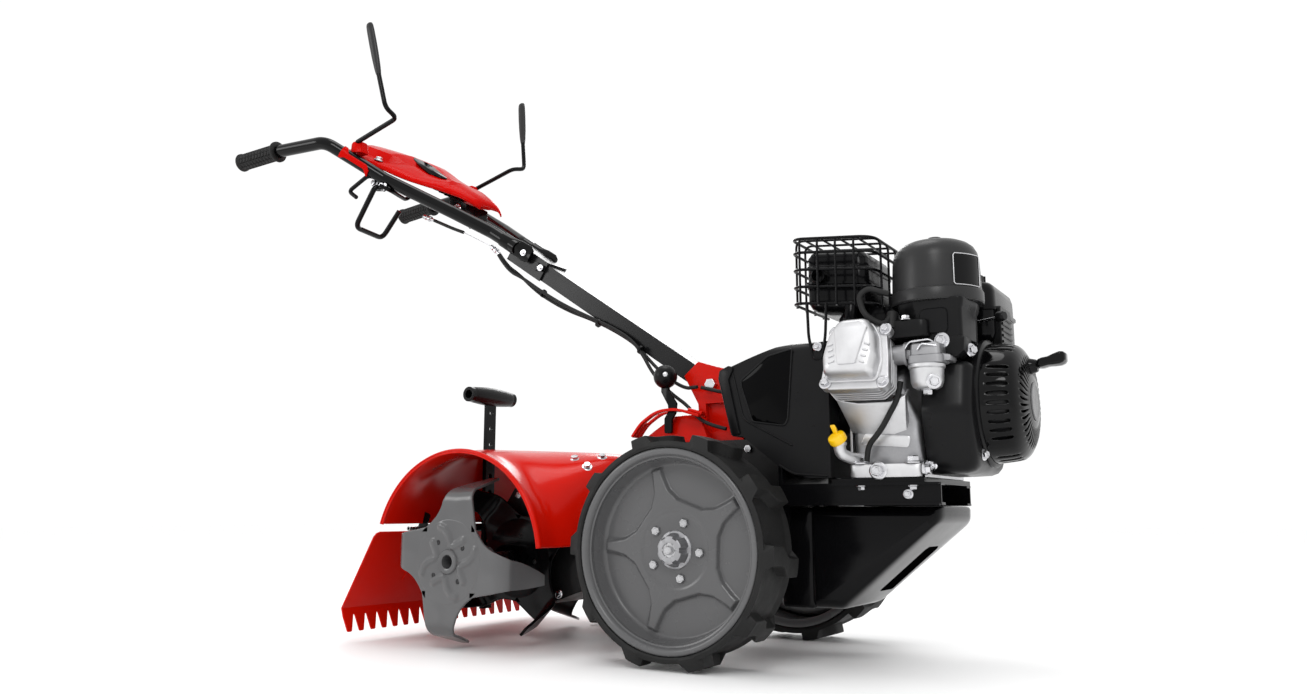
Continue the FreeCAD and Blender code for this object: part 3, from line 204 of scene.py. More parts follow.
TINE_PAINT = paint("tine_grey", (0.09, 0.09, 0.092), (0.05, 0.05, 0.052), 0.22, 0.45)
STEEL = metal("turned_steel", (0.5, 0.5, 0.51), (0.34, 0.34, 0.35), 0.28, (1, 8, 1))
CHROME = metal("zinc_plate", (0.66, 0.66, 0.68), (0.48, 0.48, 0.5), 0.24, (1, 1, 1), 90, 0.04)
ALUMINIUM = metal("cast_aluminium", (0.66, 0.66, 0.67), (0.5, 0.5, 0.51), 0.46, (1, 1, 1), 220,
    0.35)
CAST_GREY = metal("rough_casting", (0.36, 0.36, 0.37), (0.24, 0.24, 0.25), 0.5, (1, 1, 1), 260, 0.5)
IRON = plastic("black_casting", (0.006, 0.006, 0.0065), (0.014, 0.014, 0.015), 0.38, 240, 0.0005)
RUBBER = rubber("rubber_black", (0.004, 0.004, 0.004), (0.011, 0.011, 0.011))
TYRE = rubber("tyre_black", (0.003, 0.003, 0.003), (0.01, 0.0098, 0.0095))
YELLOW = plastic("yellow_moulded", (0.85, 0.5, 0.0), (0.7, 0.38, 0.0), 0.3, 900, 0.00012, 0.5)

SLOT_LOOK = {"red_paint": RED, "red_plastic": RED_PLASTIC, "black_paint": BLACK_PAINT,
    "black_plastic": BLACK_PLASTIC, "grey_paint": GREY_PAINT, "tine_paint": TINE_PAINT,
    "steel": STEEL, "chrome": CHROME, "aluminium": ALUMINIUM, "iron": IRON, "rubber": RUBBER,
    "tyre": TYRE, "yellow_plastic": YELLOW,}
LOOK_SLOT = {look.name: slot_name for slot_name, looks in {"red_paint": [RED],
    "red_plastic": [RED_PLASTIC], "black_paint": [BLACK_PAINT, SLOT_SHADE],
    "black_plastic": [BLACK_PLASTIC, GLOSS_PLASTIC, CAP_PLASTIC, WINDOW_BLACK, IRON],
    "grey_paint": [GREY_PAINT], "tine_paint": [TINE_PAINT], "chrome": [CHROME, STEEL],
    "aluminium": [ALUMINIUM, CAST_GREY], "rubber": [RUBBER], "tyre": [TYRE],
    "yellow_plastic": [YELLOW],}.items() for look in looks}
SLOT_OF = {part["node"]: part["material_slot"] for part in frame["record"]["subparts"]}


def dress(name, look=None, bevel=0.8):
    """Gives a carried-over CAD node its material, softened edges and smooth shading."""
    obj = NODES[name]
    obj.data.materials.clear()
    obj.data.materials.append(look or SLOT_LOOK[SLOT_OF[name]])
    weld = obj.modifiers.new("Weld", "WELD")
    weld.merge_threshold = 0.00001
    edge = obj.modifiers.new("Edges", "BEVEL")
    edge.width = bevel * MM
    edge.segments = 2
    edge.limit_method = "ANGLE"
    edge.angle_limit = math.radians(38)
    edge.harden_normals = False
    normals = obj.modifiers.new("Normals", "WEIGHTED_NORMAL")
    normals.keep_sharp = True
    for face in obj.data.polygons:
        face.use_smooth = True


NODE_LOOK = {"handlebar_right": GLOSS_PLASTIC, "handlebar_left": GLOSS_PLASTIC,
    "column": COLUMN_PAINT, "fork_clamp": COLUMN_PAINT}
for part_name in NODES:
    dress(part_name, NODE_LOOK.get(part_name))


# ---- mesh helpers ----


def add_piece(name, data, look, body):
    """An object with its look, riding on a body."""
    data.materials.append(look)
    obj = bpy.data.objects.new(name, data)
    bpy.context.collection.objects.link(obj)
    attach(obj, body)
    return obj


def add_mesh(name, points, faces, look, body="chassis"):
    """Makes a smooth-shaded piece from points and faces."""
    mesh = bpy.data.meshes.new(name)
    mesh.from_pydata([tuple(point) for point in points], [], faces)
    mesh.update()
    for face in mesh.polygons:
        face.use_smooth = True
    return add_piece(name, mesh, look, body)


def turns(steps):
    """Equal steps of one full turn, in radians."""
    return [2 * math.pi * step / steps for step in range(steps)]


def shifted(faces, first):
    """The same faces over points that start at another number."""
    return [tuple(corner + first for corner in face) for face in faces]


def grid_faces(rows, columns, wrap_rows=False, wrap_columns=False):
    """Quads over a grid of points stored row by row."""
    faces = []
    for row in range(rows if wrap_rows else rows - 1):
        below = (row + 1) % rows
        for column in range(columns if wrap_columns else columns - 1):
            beside = (column + 1) % columns
            faces.append((row * columns + column, row * columns + beside, below * columns + beside,
                below * columns + column))
    return faces


def fix_normals(obj):
    """Makes the faces of a closed mesh point outwards."""
    work = bmesh.new()
    work.from_mesh(obj.data)
    bmesh.ops.remove_doubles(work, verts=work.verts, dist=0.000001)
    bmesh.ops.recalc_face_normals(work, faces=work.faces)
    work.to_mesh(obj.data)
    work.free()
    return obj


def sharp_shade(obj, degrees=35):
    """Smooth shading that keeps the sharper edges crisp."""
    limit = math.radians(degrees)
    work = bmesh.new()
    work.from_mesh(obj.data)
    for edge in work.edges:
        edge.smooth = not edge.is_manifold or edge.calc_face_angle(0) < limit
    work.to_mesh(obj.data)
    work.free()
    return obj


def thicken(obj, thickness, offset=-1.0):
    """Gives a sheet its thickness."""
    skin = obj.modifiers.new("Thickness", "SOLIDIFY")
    skin.thickness = thickness
    skin.offset = offset
    return obj


def soften(obj, width, degrees=32, segments=3):
    """Rounds the crisp edges of a mesh."""
    edge = obj.modifiers.new("Edges", "BEVEL")
    edge.width = width
    edge.segments = segments
    edge.limit_method = "ANGLE"
    edge.angle_limit = math.radians(degrees)
    return obj


def blend_in(value, low, high):
    """0 below low, 1 above high, smooth between."""
    part = min(1.0, max(0.0, (value - low) / (high - low)))
    return part * part * (3 - 2 * part)


# ---- wheels ----

LUGS = 10
TREAD_RADIUS = 0.1575
STAR_ANGLE = math.radians(34)
LUG_ANGLE = math.radians(-4.7)


def build_tyre(name, side):
    """Moulded tyre: kinked cross lugs between two side rings, on a carcass."""
    low, high = box_of(f"tyre_{name}")
    middle = (low.y + high.y) / 2
    half = (high.y - low.y) / 2
    outer, carcass, bead = WHEEL_RADIUS * MM, 149 * MM, 134 * MM
    step = 2 * math.pi / LUGS
    columns = [(-15.5, 0), (-14.8, 0.06), (-12.6, 0.94), (-11.6, 1), (-6, 1), (0, 1), (6, 1),
        (11.6, 1), (12.6, 0.94), (14.8, 0.06), (15.5, 0)]
    columns += [(15.5 + gap * 4.8, 0) for gap in range(1, 15)]
    rows = [(bead, -half + 6 * MM, 0), (bead + 8 * MM, -half + 6 * MM, 0),
        (bead + 9.5 * MM, -half + 1.5 * MM, 0.02), (carcass - 3 * MM, -half, 0.1)]
    count = 18
    for index in range(count + 1):
        across = -half + 1.2 * MM + (2 * half - 2.4 * MM) * index / count
        edge = (half - abs(across)) / MM
        ring = 3.2 * MM * (1 - blend_in(edge, 5, 8))
        rows.append((carcass + ring, across, blend_in(edge, 0.5, 3.5)))
    rows += [(radius, -across, lift) for radius, across, lift in reversed(rows[:4])]
    rows.append((bead, 0, 0))
    points = []
    for radius, across, lift in rows:
        kink = 0.055 * math.tanh(across * side / (8 * MM)) * lift
        for lug in range(LUGS):
            for along, rise in columns:
                angle = LUG_ANGLE + lug * step + along * MM / TREAD_RADIUS + kink
                reach = radius + (outer - radius) * rise * lift
                points.append((AXLE.x + reach * math.cos(angle), middle + across,
                    AXLE.z + reach * math.sin(angle)))
    faces = grid_faces(len(rows), LUGS * len(columns), wrap_rows=True, wrap_columns=True)
    tyre = fix_normals(add_mesh(f"moulded_tyre_{name}", points, faces, TYRE, "axle"))
    sharp_shade(tyre, 28)
    soften(tyre, 0.9 * MM, 30, 2)
    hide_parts(f"tyre_{name}")


def star_height(x, z):
    """How far inside the five-arm star a point of the disc is, in millimetres."""
    radius = math.hypot(x, z)
    angle = math.atan2(z, x)
    turn = (angle - STAR_ANGLE) % (2 * math.pi / 5)
    if turn > math.pi / 5:
        turn -= 2 * math.pi / 5
    along, across = radius * math.cos(turn), abs(radius * math.sin(turn))
    arm_half = 13.5 - 5.5 * blend_in(along, 70, 116) + 10 * (1 - blend_in(along, 62, 88))
    arm = min(arm_half - across, 118 - along)
    valley = radius * math.cos(math.pi / 5 - abs(turn))
    return max(arm, 68 - valley)


def build_disc(name, side):
    """Pressed steel disc: lip, conical wall and raised star."""
    low, high = box_of(f"wheel_disc_{name}")
    face = low.y if side < 0 else high.y
    spokes = 300
    rings = [21, 27, 34, 41, 48, 52, 54, 56, 58] + [59 + 1.6 * index for index in range(39)]
    rings += [122, 124.5, 128, 131.5, 133.5, 135, 137, 140, 142.3, 142.3, 140]
    points = []
    for index, ring in enumerate(rings):
        for angle in turns(spokes):
            x, z = ring * math.cos(angle), ring * math.sin(angle)
            if ring <= 121.5:
                depth = 35.5 - 7.5 * blend_in(star_height(x, z), -2.8, 2.8)
                depth += 1.6 * (1 - blend_in(ring, 52.5, 56))
            elif ring <= 133.5 and index < len(rings) - 4:
                depth = 35.5 - 34.5 * blend_in(ring, 121, 135) ** 0.9
            else:
                depth = {135: 0.8, 137: 0.1, 140: 0.1, 142.3: 1.5}[ring]
            if index >= len(rings) - 2:
                depth = 4.0 if ring == 142.3 else 6.5
            points.append((AXLE.x + x * MM, face - side * depth * MM, AXLE.z + z * MM))
    disc = add_mesh(f"pressed_disc_{name}", points,
        grid_faces(len(rings), spokes, wrap_columns=True), GREY_PAINT, "axle")
    fix_normals(disc)
    thicken(disc, 2.2 * MM)
    barrel = [(134.5, 6), (131.5, 7), (131, 30), (131, 60), (131, 84), (134, 86), (142, 87),
        (142, 90.5), (133, 89.5), (129, 86), (128.6, 40), (129, 8)]
    points = []
    for ring, depth in barrel:
        for angle in turns(120):
            points.append((AXLE.x + ring * MM * math.cos(angle), face - side * depth * MM,
                AXLE.z + ring * MM * math.sin(angle)))
    rim = add_mesh(f"rim_barrel_{name}", points,
        grid_faces(len(barrel), 120, wrap_rows=True, wrap_columns=True), GREY_PAINT, "axle")
    fix_normals(rim)
    sharp_shade(rim, 40)
    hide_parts(f"wheel_disc_{name}")


for side_sign, side_name in SIDES:
    build_tyre(side_name, side_sign)
    build_disc(side_name, side_sign)


# ---- tine hood ----

HOOD_AXIS = AXLE + Vector((-390, 0, -20)) * MM
HOOD_HALF = box_of("tine_hood")[1].y - 0.4 * MM
HOOD_RIM = 169.6
HOOD_TOP, HOOD_FRONT, HOOD_REAR = 178, 211, 164
CORNER_POWER = 14


def hood_crown(angle):
    """Outline of the hood along its middle, as a radius in mm about the hood axis."""
    sine, cosine = max(math.sin(angle), 0.02), math.cos(angle)
    top = HOOD_TOP / max(sine + 0.06 * cosine, 0.05)
    front = HOOD_FRONT / max(cosine, 0.02)
    rear = HOOD_REAR / max(-cosine, 0.02)
    reach = [min(top, 1.0e4), min(front, 1.0e4), min(rear, 1.0e4)]
    soft = sum(value ** -CORNER_POWER for value in reach) ** (-1 / CORNER_POWER)
    return max(soft, HOOD_RIM)


def hood_point(angle, part):
    """A point of the pressed hood; part runs from -1 (right rim) to 1 (left rim)."""
    width = abs(part) * HOOD_HALF / MM
    forward = blend_in(math.degrees(angle), 95, 60)
    rear_rise = blend_in(1 - width / 262, 0.0, 0.86)
    front_rise = 1 - blend_in(width, 70, 246)
    rise = rear_rise + (front_rise - rear_rise) * forward
    valley = 5 * forward * math.exp(-((width - 215) / 26) ** 2)
    mixed = HOOD_RIM + (hood_crown(angle) - HOOD_RIM) * rise - valley
    bead = 2.2 * blend_in(width, 250, 257) * (1 - blend_in(width, 258, 261.8))
    reach = (mixed + bead) * MM
    return Vector((HOOD_AXIS.x + reach * math.cos(angle), part * HOOD_HALF,
        HOOD_AXIS.z + reach * math.sin(angle)))


def build_hood():
    """One pressed shell from rim to rim over the crown, with its two rolled rims."""
    angles = [math.radians(161.7 - 155.3 * index / 120) for index in range(121)]
    across = [-1 + 2 * index / 120 for index in range(121)]
    points = [hood_point(angle, part) for part in across for angle in angles]
    hood = add_mesh("pressed_hood", points, grid_faces(len(across), len(angles)), RED)
    fix_normals(hood)
    thicken(hood, 2.4 * MM, 1.0)
    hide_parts("tine_hood")
    for side in (-1, 1):
        rim = []
        for lip in turns(12):
            for angle in angles:
                reach = (HOOD_RIM - 1 + 2.2 * math.cos(lip)) * MM
                rim.append((HOOD_AXIS.x + reach * math.cos(angle),
                    side * (HOOD_HALF - 2.4 * MM) + 2.2 * MM * math.sin(lip),
                    HOOD_AXIS.z + reach * math.sin(angle)))
        roll = add_mesh(f"hood_rim_{'right' if side < 0 else 'left'}", rim,
            grid_faces(12, len(angles), True), RED)
        fix_normals(roll)


build_hood()


# ---- tines ----

ROTOR = centre("tine_shaft")
OUTER_TINE, INNER_TINE = 258, 84


def table(value, rows):
    """Straight interpolation through (value, result) rows in rising order."""
    for (first, low), (last, high) in zip(rows, rows[1:]):
        if value <= last:
            return low + (high - low) * max(0.0, (value - first) / (last - first))
    return rows[-1][1]


def line_distance(x, z, line):
    """Distance in the plane from a point to a line of joined points."""
    nearest = 1.0e4
    for (x1, z1), (x2, z2) in zip(line, line[1:]):
        run = (x2 - x1) ** 2 + (z2 - z1) ** 2
        part = min(1.0, max(0.0, ((x - x1) * (x2 - x1) + (z - z1) * (z2 - z1)) / run))
        nearest = min(nearest, math.hypot(x - x1 - part * (x2 - x1), z - z1 - part * (z2 - z1)))
    return nearest


SWIRLS = ([(30, -4), (43, 1), (51, 8), (55, 18)], [(33, -30), (26, -16), (24, -9)])
ARM_HIGH = [(46, 60), (52, 54), (61, 40), (71, 29), (80, 22), (89, 17.5), (94, 16)]
ARM_LOW = [(46, -55), (67, -51), (80, -49), (94, -46.5)]


def tine_relief(x, z):
    """Height in mm of the pressed swirls about the hub."""
    height = 0.0
    for _ in range(4):
        x, z = -z, x
        for line in SWIRLS:
            height = max(height, 2.6 * (1 - blend_in(line_distance(x, z, line), 2.0, 8.0)))
    return height


def build_tines(node, look, side, inward, turned):
    """Four swept arms on one plate; each arm bends over into its cutting blade."""
    outer = node.startswith("tines_outer")
    plane = side * (OUTER_TINE if outer else INNER_TINE) * MM
    way = -side if inward else side

    def place(x, z, depth):
        """From the plate's own axes (mm) to the scene."""
        return (ROTOR.x + (x * math.cos(turned) - z * math.sin(turned)) * MM,
            plane + way * depth * MM, ROTOR.z + (x * math.sin(turned) + z * math.cos(turned)) * MM)

    stations = [(along, table(along, ARM_LOW), table(along, ARM_HIGH), 0)
        for along in (46, 50, 54, 58, 62, 66, 71, 76, 82, 88, 94)]
    for index in range(1, 9):
        angle = math.radians(74) * index / 8
        stations.append((94 + 22 * math.sin(angle), -46 + 0.6 * index, 16 - 1.5 * index,
            22 * (1 - math.cos(angle))))
    last = stations[-1]
    for index in range(1, 9):
        run = index / 8
        stations.append((last[0] + 17 * run, last[1] + 5 * run ** 2, last[2] - 24 * run ** 1.4,
            last[3] + 60 * run))
    columns = 17
    points, faces = [], []
    for quarter in range(4):
        facing = quarter * math.pi / 2
        faces += shifted(grid_faces(len(stations), columns), len(points))
        for along, low, high, lift in stations:
            for column in range(columns):
                across = low + (high - low) * column / (columns - 1)
                dish = 1.2 * math.exp(-((across + 17) / 14) ** 2) * blend_in(along, 60, 80)
                dish *= 1 - blend_in(along, 92, 112)
                points.append(place(along * math.cos(facing) - across * math.sin(facing),
                    along * math.sin(facing) + across * math.cos(facing), lift - dish))
    arms = add_mesh(f"swept_{node}", points, faces, look, "rotor")
    fix_normals(arms)
    thicken(arms, 4.4 * MM, 0.0)
    soften(arms, 0.8 * MM, 40, 2)
    rings = [(20, -2.4)] + [(22 + 2 * step, -2.4) for step in range(23)] + [(68.6, -1.4), (69, 0)]
    rings += [(68.6, 1.4), (67, 2.4), (20, 2.4)]
    plate = []
    for ring, rise in rings:
        for angle in turns(160):
            x, z = ring * math.cos(angle), ring * math.sin(angle)
            plate.append(place(x, z, rise - (tine_relief(x, z) if -2.5 < rise < -2 else 0)))
    disc = add_mesh(f"plate_{node}", plate, grid_faces(len(rings), 160, True, True), look, "rotor")
    fix_normals(disc)
    sharp_shade(disc, 50)
    depth = 88 if outer else 20
    hub = [(11, -5), (14, -6), (18, -6), (19.5, -4.5), (20, -2.6), (22.5, -2.6), (22.5, 40),
        (22.5, depth), (11, depth)]
    tube = [place(ring * math.cos(angle), ring * math.sin(angle), at) for ring, at in hub
        for angle in turns(64)]
    sleeve = add_mesh(f"sleeve_{node}", tube, grid_faces(len(hub), 64, True, True), look, "rotor")
    fix_normals(sleeve)
    sharp_shade(sleeve, 40)
    # Near-black discs at the four bolt holes paint the shade seen in the holes; the plate itself is
    # not cut.
    hole_shade_points, hole_shade_faces = [], []
    for quarter in range(4):
        angle = math.radians(36 + 90 * quarter)
        hole_shade_faces += shifted(grid_faces(4, 20, True, True), len(hole_shade_points))
        hole_shade_points += [place(37 * math.cos(angle) + radius * math.cos(turn),
            37 * math.sin(angle) + radius * math.sin(turn), at)
            for radius, at in ((0.5, -2.5), (4.2, -2.5), (4.2, 2.5), (0.5, 2.5))
            for turn in turns(20)]
    hole_shade = add_mesh(f"bore_shade_{node}", hole_shade_points, hole_shade_faces, IRON, "rotor")
    fix_normals(hole_shade)
    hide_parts(node)


for side_sign, side_name in SIDES:
    build_tines(f"tines_outer_{side_name}", TINE_PAINT, side_sign, True, 0)
    build_tines(f"tines_inner_{side_name}", BLACK_PAINT, side_sign, False,
        math.radians(45 if side_sign < 0 else 79))


# ---- shape helpers ----


def mm(x, y, z):
    """A point given in millimetres from the axle line on the ground."""
    return AXLE + Vector((x, y, z - WHEEL_RADIUS)) * MM


def side_view(x, z, y):
    """mm for an outline drawn from the side and carried across."""
    return mm(x, y, z)


def front_view(y, z, x):
    """mm for an outline drawn from the front and carried forward."""
    return mm(x, y, z)


def tidy_shape(obj, crisp=35, bevel=0.0):
    """Outward faces, crisp edges where they are sharp, and an optional rounding."""
    fix_normals(obj)
    sharp_shade(obj, crisp)
    if bevel:
        soften(obj, bevel * MM, crisp, 2)
    return obj


def rounded(corners, radius, steps=6):
    """A closed outline with every corner rounded; radius may be one number or one a corner."""
    outline = []
    count = len(corners)
    radii = radius if isinstance(radius, (list, tuple)) else [radius] * count
    for index in range(count):
        before, corner, after = (Vector(corners[(index + turn) % count]) for turn in (-1, 0, 1))
        into, out = (before - corner).normalized(), (after - corner).normalized()
        half = into.angle(out) / 2
        trim = radii[index] / max(math.tan(half), 0.01)
        trim = min(trim, 0.49 * (before - corner).length, 0.49 * (after - corner).length)
        first, last = corner + into * trim, corner + out * trim
        for step in range(steps + 1):
            part = step / steps
            outline.append(tuple(first.lerp(corner, part).lerp(corner.lerp(last, part), part)))
    return outline


def loft(name, sections, look, body="chassis", cap=True):
    """A skin over closed sections that all have the same number of points."""
    count = len(sections[0])
    points = [point for section in sections for point in section]
    faces = grid_faces(len(sections), count, wrap_columns=True)
    if cap:
        faces.append(tuple(range(count)))
        faces.append(tuple(range(len(points) - count, len(points))))
    return add_mesh(name, points, faces, look, body)


def block(name, outline, levels, place, look, body="chassis", crisp=35, bevel=0.0):
    """An outline carried through levels (height, inset), placed by place(u, v, height)."""
    low = [min(point[axis] for point in outline) for axis in (0, 1)]
    high = [max(point[axis] for point in outline) for axis in (0, 1)]
    middle = [(low[axis] + high[axis]) / 2 for axis in (0, 1)]
    sections = []
    for height, inset in levels:
        scale = [1 - 2 * inset / (high[axis] - low[axis]) for axis in (0, 1)]
        sections.append([place(middle[0] + (u - middle[0]) * scale[0],
            middle[1] + (v - middle[1]) * scale[1], height) for u, v in outline])
    return tidy_shape(loft(name, sections, look, body), crisp, bevel)


def soft_levels(low, high, edge):
    """Levels of a block whose two ends are rounded."""
    sense = 1 if high > low else -1
    return [(low, edge), (low + sense * edge * 0.3, edge * 0.3), (low + sense * edge, 0),
        (high - sense * edge, 0), (high - sense * edge * 0.3, edge * 0.3), (high, edge)]


def lathe(name, profile, origin, axis, look, body="chassis", steps=64, crisp=35, closed=False):
    """A turned shape from (distance along the axis, radius) pairs in millimetres."""
    axis = Vector(axis).normalized()
    side = axis.orthogonal().normalized()
    other = axis.cross(side)
    points = []
    for along, radius in profile:
        for angle in turns(steps):
            spoke = side * math.cos(angle) + other * math.sin(angle)
            points.append(origin + (axis * along + spoke * radius) * MM)
    faces = grid_faces(len(profile), steps, wrap_rows=closed, wrap_columns=True)
    if not closed:
        faces.append(tuple(range(steps)))
        faces.append(tuple(range(len(points) - steps, len(points))))
    return tidy_shape(add_mesh(name, points, faces, look, body), crisp)


def bent(points, bend, steps=7):
    """A path in metres with its corners rounded."""
    corners = [Vector(point) for point in points]
    path = [corners[0]]
    for before, corner, after in zip(corners, corners[1:], corners[2:]):
        into, out = (before - corner), (after - corner)
        trim = min(bend * MM, 0.45 * into.length, 0.45 * out.length)
        first, last = corner + into.normalized() * trim, corner + out.normalized() * trim
        for step in range(steps + 1):
            part = step / steps
            path.append(first.lerp(corner, part).lerp(corner.lerp(last, part), part))
    path.append(corners[-1])
    return path


def route(points, bend, steps=7):
    """A path with rounded corners through points given in millimetres."""
    return bent([mm(*point) for point in points], bend, steps)


def wire(name, paths, radius, look, body="chassis", cyclic=False, smooth=False):
    """Round wires along one or more paths in metres; smooth ones only pass near the points."""
    curve = bpy.data.curves.new(name, "CURVE")
    curve.dimensions = "3D"
    curve.bevel_depth = radius * MM
    curve.bevel_resolution = 4
    curve.use_fill_caps = True
    for path in paths:
        line = curve.splines.new("NURBS" if smooth else "POLY")
        line.points.add(len(path) - 1)
        for point, at in zip(line.points, path):
            point.co = (*at, 1)
        line.use_cyclic_u = cyclic
        if smooth:
            line.order_u = 3
            line.use_endpoint_u = True
    return add_piece(name, curve, look, body)


def bolts(name, places, look=CHROME, body="chassis"):
    """Hexagon flange bolts: each place is (point, outward direction, size across in mm)."""
    flange = [(0, 0.86), (0.12, 0.86), (0.22, 0.72)]
    head = [(0.2, 0.56), (0.62, 0.56), (0.72, 0.47), (0.72, 0.36), (0.68, 0.3)]
    points, faces = [], []
    for at, out, size in places:
        out = Vector(out).normalized()
        side = out.orthogonal().normalized()
        other = out.cross(side)
        for profile, steps in ((flange, 24), (head, 6)):
            skin = grid_faces(len(profile), steps, wrap_columns=True)
            skin.append(tuple(range((len(profile) - 1) * steps, len(profile) * steps)))
            faces += shifted(skin, len(points))
            for height, reach in profile:
                for angle in turns(steps):
                    spoke = side * math.cos(angle) + other * math.sin(angle)
                    points.append(at + (out * height + spoke * reach) * size * MM)
    return sharp_shade(add_mesh(name, points, faces, look, body), 28)


# ---- engine ----

HEAD_LEAN = math.radians(20)
CRANK_HEIGHT = 371
CLEANER = (338, -60)
TANK_CAP = (340, 92)


def on_head(x, y, z):
    """A point given in the leaning cylinder's own directions."""
    return mm(x, y * math.cos(HEAD_LEAN) + z * math.sin(HEAD_LEAN),
        CRANK_HEIGHT - y * math.sin(HEAD_LEAN) + z * math.cos(HEAD_LEAN))


HEAD_OUT = Vector((0, -math.cos(HEAD_LEAN), math.sin(HEAD_LEAN)))


def build_crankcase():
    """Cast block: foot, tapering case, oil filler and the neck under the cylinder head."""
    block("engine_foot", rounded([(218, -117), (324, -117), (324, 99), (218, 99)], 12),
        soft_levels(265, 284, 1.5), mm, ALUMINIUM, "chassis", 40)
    levels = [(283, 224, 319, -102, 90), (287, 222, 321, -104, 92), (325, 221, 320, -103, 94),
        (342, 220, 319, -99, 95), (350, 216, 316, -101, 95), (372, 206, 308, -116, 94),
        (388, 203, 305, -121, 80), (404, 204, 305, -112, 66), (424, 210, 306, -84, 56),
        (441, 218, 312, -58, 46)]
    sections = []
    for height, rear, front, right, left in levels:
        outline = rounded([(rear, right), (front, right), (front, left), (rear, left)], 13)
        sections.append([mm(x, y, height) for x, y in outline])
    case = tidy_shape(loft("engine_case", sections, CAST_GREY), 50)
    neck = loft("engine_neck", [[mm(x, y, z) for x, y, z in ring]
        for ring in ([(219, -101, 330), (246, -101, 322), (282, -101, 322), (300, -101, 330),
        (303, -90, 345), (216, -90, 345)], [(213, -110, 350), (242, -112, 340), (284, -112, 340),
        (302, -110, 350), (306, -98, 362), (210, -98, 362)],
        [(204, -121, 376), (238, -124, 368), (286, -124, 368), (305, -121, 376), (308, -108, 388),
        (202, -108, 388)])], ALUMINIUM)
    tidy_shape(neck, 30, 1.2)
    block("case_recess", rounded([(232, 312), (302, 306), (306, 322), (240, 328)], 5),
        [(-102, 0), (-104.5, 0), (-105.2, 1.2)], side_view, ALUMINIUM)
    wire("oil_filler_pipe", [route([(238, -98, 292), (224, -118, 292), (214, -134, 299),
        (213, -136, 313)], 14)], 8.5, ALUMINIUM)
    lathe("oil_filler_collar", [(0, 7), (0, 10.5), (4, 10.5), (5, 9.6), (5, 7)], mm(213, -136, 310),
        UP, ALUMINIUM, "chassis", 40)
    bolts("engine_foot_bolts", [(mm(233, -108, 284), UP, 15), (mm(309, -108, 284), UP, 15),
        (mm(262, -117, 274.5), RIGHT, 15), (mm(233, 90, 284), UP, 15), (mm(309, 90, 284), UP, 15),
        (mm(324, -108, 276), FORWARD, 13)])
    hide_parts("crankcase")


def build_head():
    """Cylinder head with its flange, fins and the rocker cover."""
    bounds = [(199, -30), (210, -44), (282, -46), (297, -32), (294, 6), (289, 40), (278, 54),
        (220, 54), (206, 38), (201, 0)]
    outline = rounded(bounds, 9, 4)

    def place(x, z, out):
        """A point of the head from its outline and its distance out."""
        return on_head(x, -out, z)

    levels = [(122, 2), (126, 0)]
    for fin in range(4):
        start = 128 + fin * 6.2
        levels += [(start, 0), (start + 0.6, 6), (start + 3.6, 6), (start + 4.2, 0)]
    levels += [(153, 0), (162, 0), (163.5, 1.2)]
    head = block("finned_head", outline, levels, place, ALUMINIUM, "chassis", 32, 0.5)
    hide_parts("cylinder_head")
    ears = []
    for x, z in ((207, -34), (290, -38), (287, 44), (213, 46)):
        ears.append((on_head(x, -164, z), HEAD_OUT, 10.5))
        lathe(f"head_boss_{x}_{z + 100}", [(-12, 8.5), (-1, 8.5), (0, 7.5)], on_head(x, -164, z),
            HEAD_OUT, ALUMINIUM, "chassis", 32)
    bolts("head_bolts", ears)
    arch = [(210, -32), (281, -34), (286, -6), (281, 30), (268, 54), (226, 54), (212, 30),
        (206, -6)]
    block("rocker_rim", rounded(arch, [9, 9, 20, 22, 16, 16, 22, 20], 6),
        [(163, -2.5), (167, -2.5), (168, -1.4)], place, ALUMINIUM)
    cover = block("rocker_cover_body", rounded(arch, [10, 10, 20, 22, 16, 16, 22, 20], 6),
        [(166, 0), (182, 1), (188, 3.5), (191.5, 7), (193, 11)], place, ALUMINIUM, "chassis", 60)
    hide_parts("valve_cover")
    block("rocker_cover_panel", rounded([(234, -22), (260, -22), (272, 34), (262, 43), (236, 43),
        (224, 34)], 4), [(190, 0), (194.6, 0), (195.6, 1.2)], place, ALUMINIUM)
    for side in (-1, 1):
        for step in range(4):
            middle = 247 + side * (22 + 1.6 * step)
            z = -20 + 9 * step
            block(f"rocker_rib_{'l' if side < 0 else 'r'}{step}",
                rounded([(middle - 4, z), (middle + 4, z + side * -3),
                (middle + 4, z + 3.4 - side * 3), (middle - 4, z + 3.4)], 1.2, 3),
                [(182, 0), (194, 0), (194.8, 0.6)], place, ALUMINIUM)


def build_carburettor():
    """Carburettor body, float bowl and its linkage."""
    lathe("float_bowl", [(0, 6), (0, 15), (3, 19.5), (9, 22), (27, 23), (29, 25), (33, 25),
        (34, 23), (34, 8)], mm(338, -124, 383), UP, ALUMINIUM, "chassis", 56)
    bolts("float_bowl_bolts", [(mm(338, -124, 384), DOWN, 12),
        (mm(352, -143, 391), (0.5, -1, -0.2), 12)])
    body = block("carburettor_body", rounded([(316, -140), (362, -140), (366, -104), (312, -104)],
        8), [(417, 1), (418, 0), (428, 0), (430, 3), (444, 4), (446, 6)], mm, CAST_GREY, "chassis",
        32, 0.6)
    lathe("carburettor_throat", [(0, 17), (4, 17), (4, 14), (26, 14), (30, 19), (34, 19)],
        mm(312, -118, 434), BACK, CAST_GREY, "chassis", 40)
    block("carburettor_flange", rounded([(300, 412), (350, 404), (372, 404), (372, 412),
        (306, 424)], 3), soft_levels(-128, -98, 1), lambda x, z, y: mm(x, y, z + 16), CAST_GREY)
    wire("choke_linkage", [route([(312, -134, 440), (318, -136, 448), (346, -134, 450),
        (352, -128, 444)], 4), route([(330, -138, 436), (336, -140, 444), (356, -136, 440)], 4)],
        1.3, CHROME)
    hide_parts("carburettor")


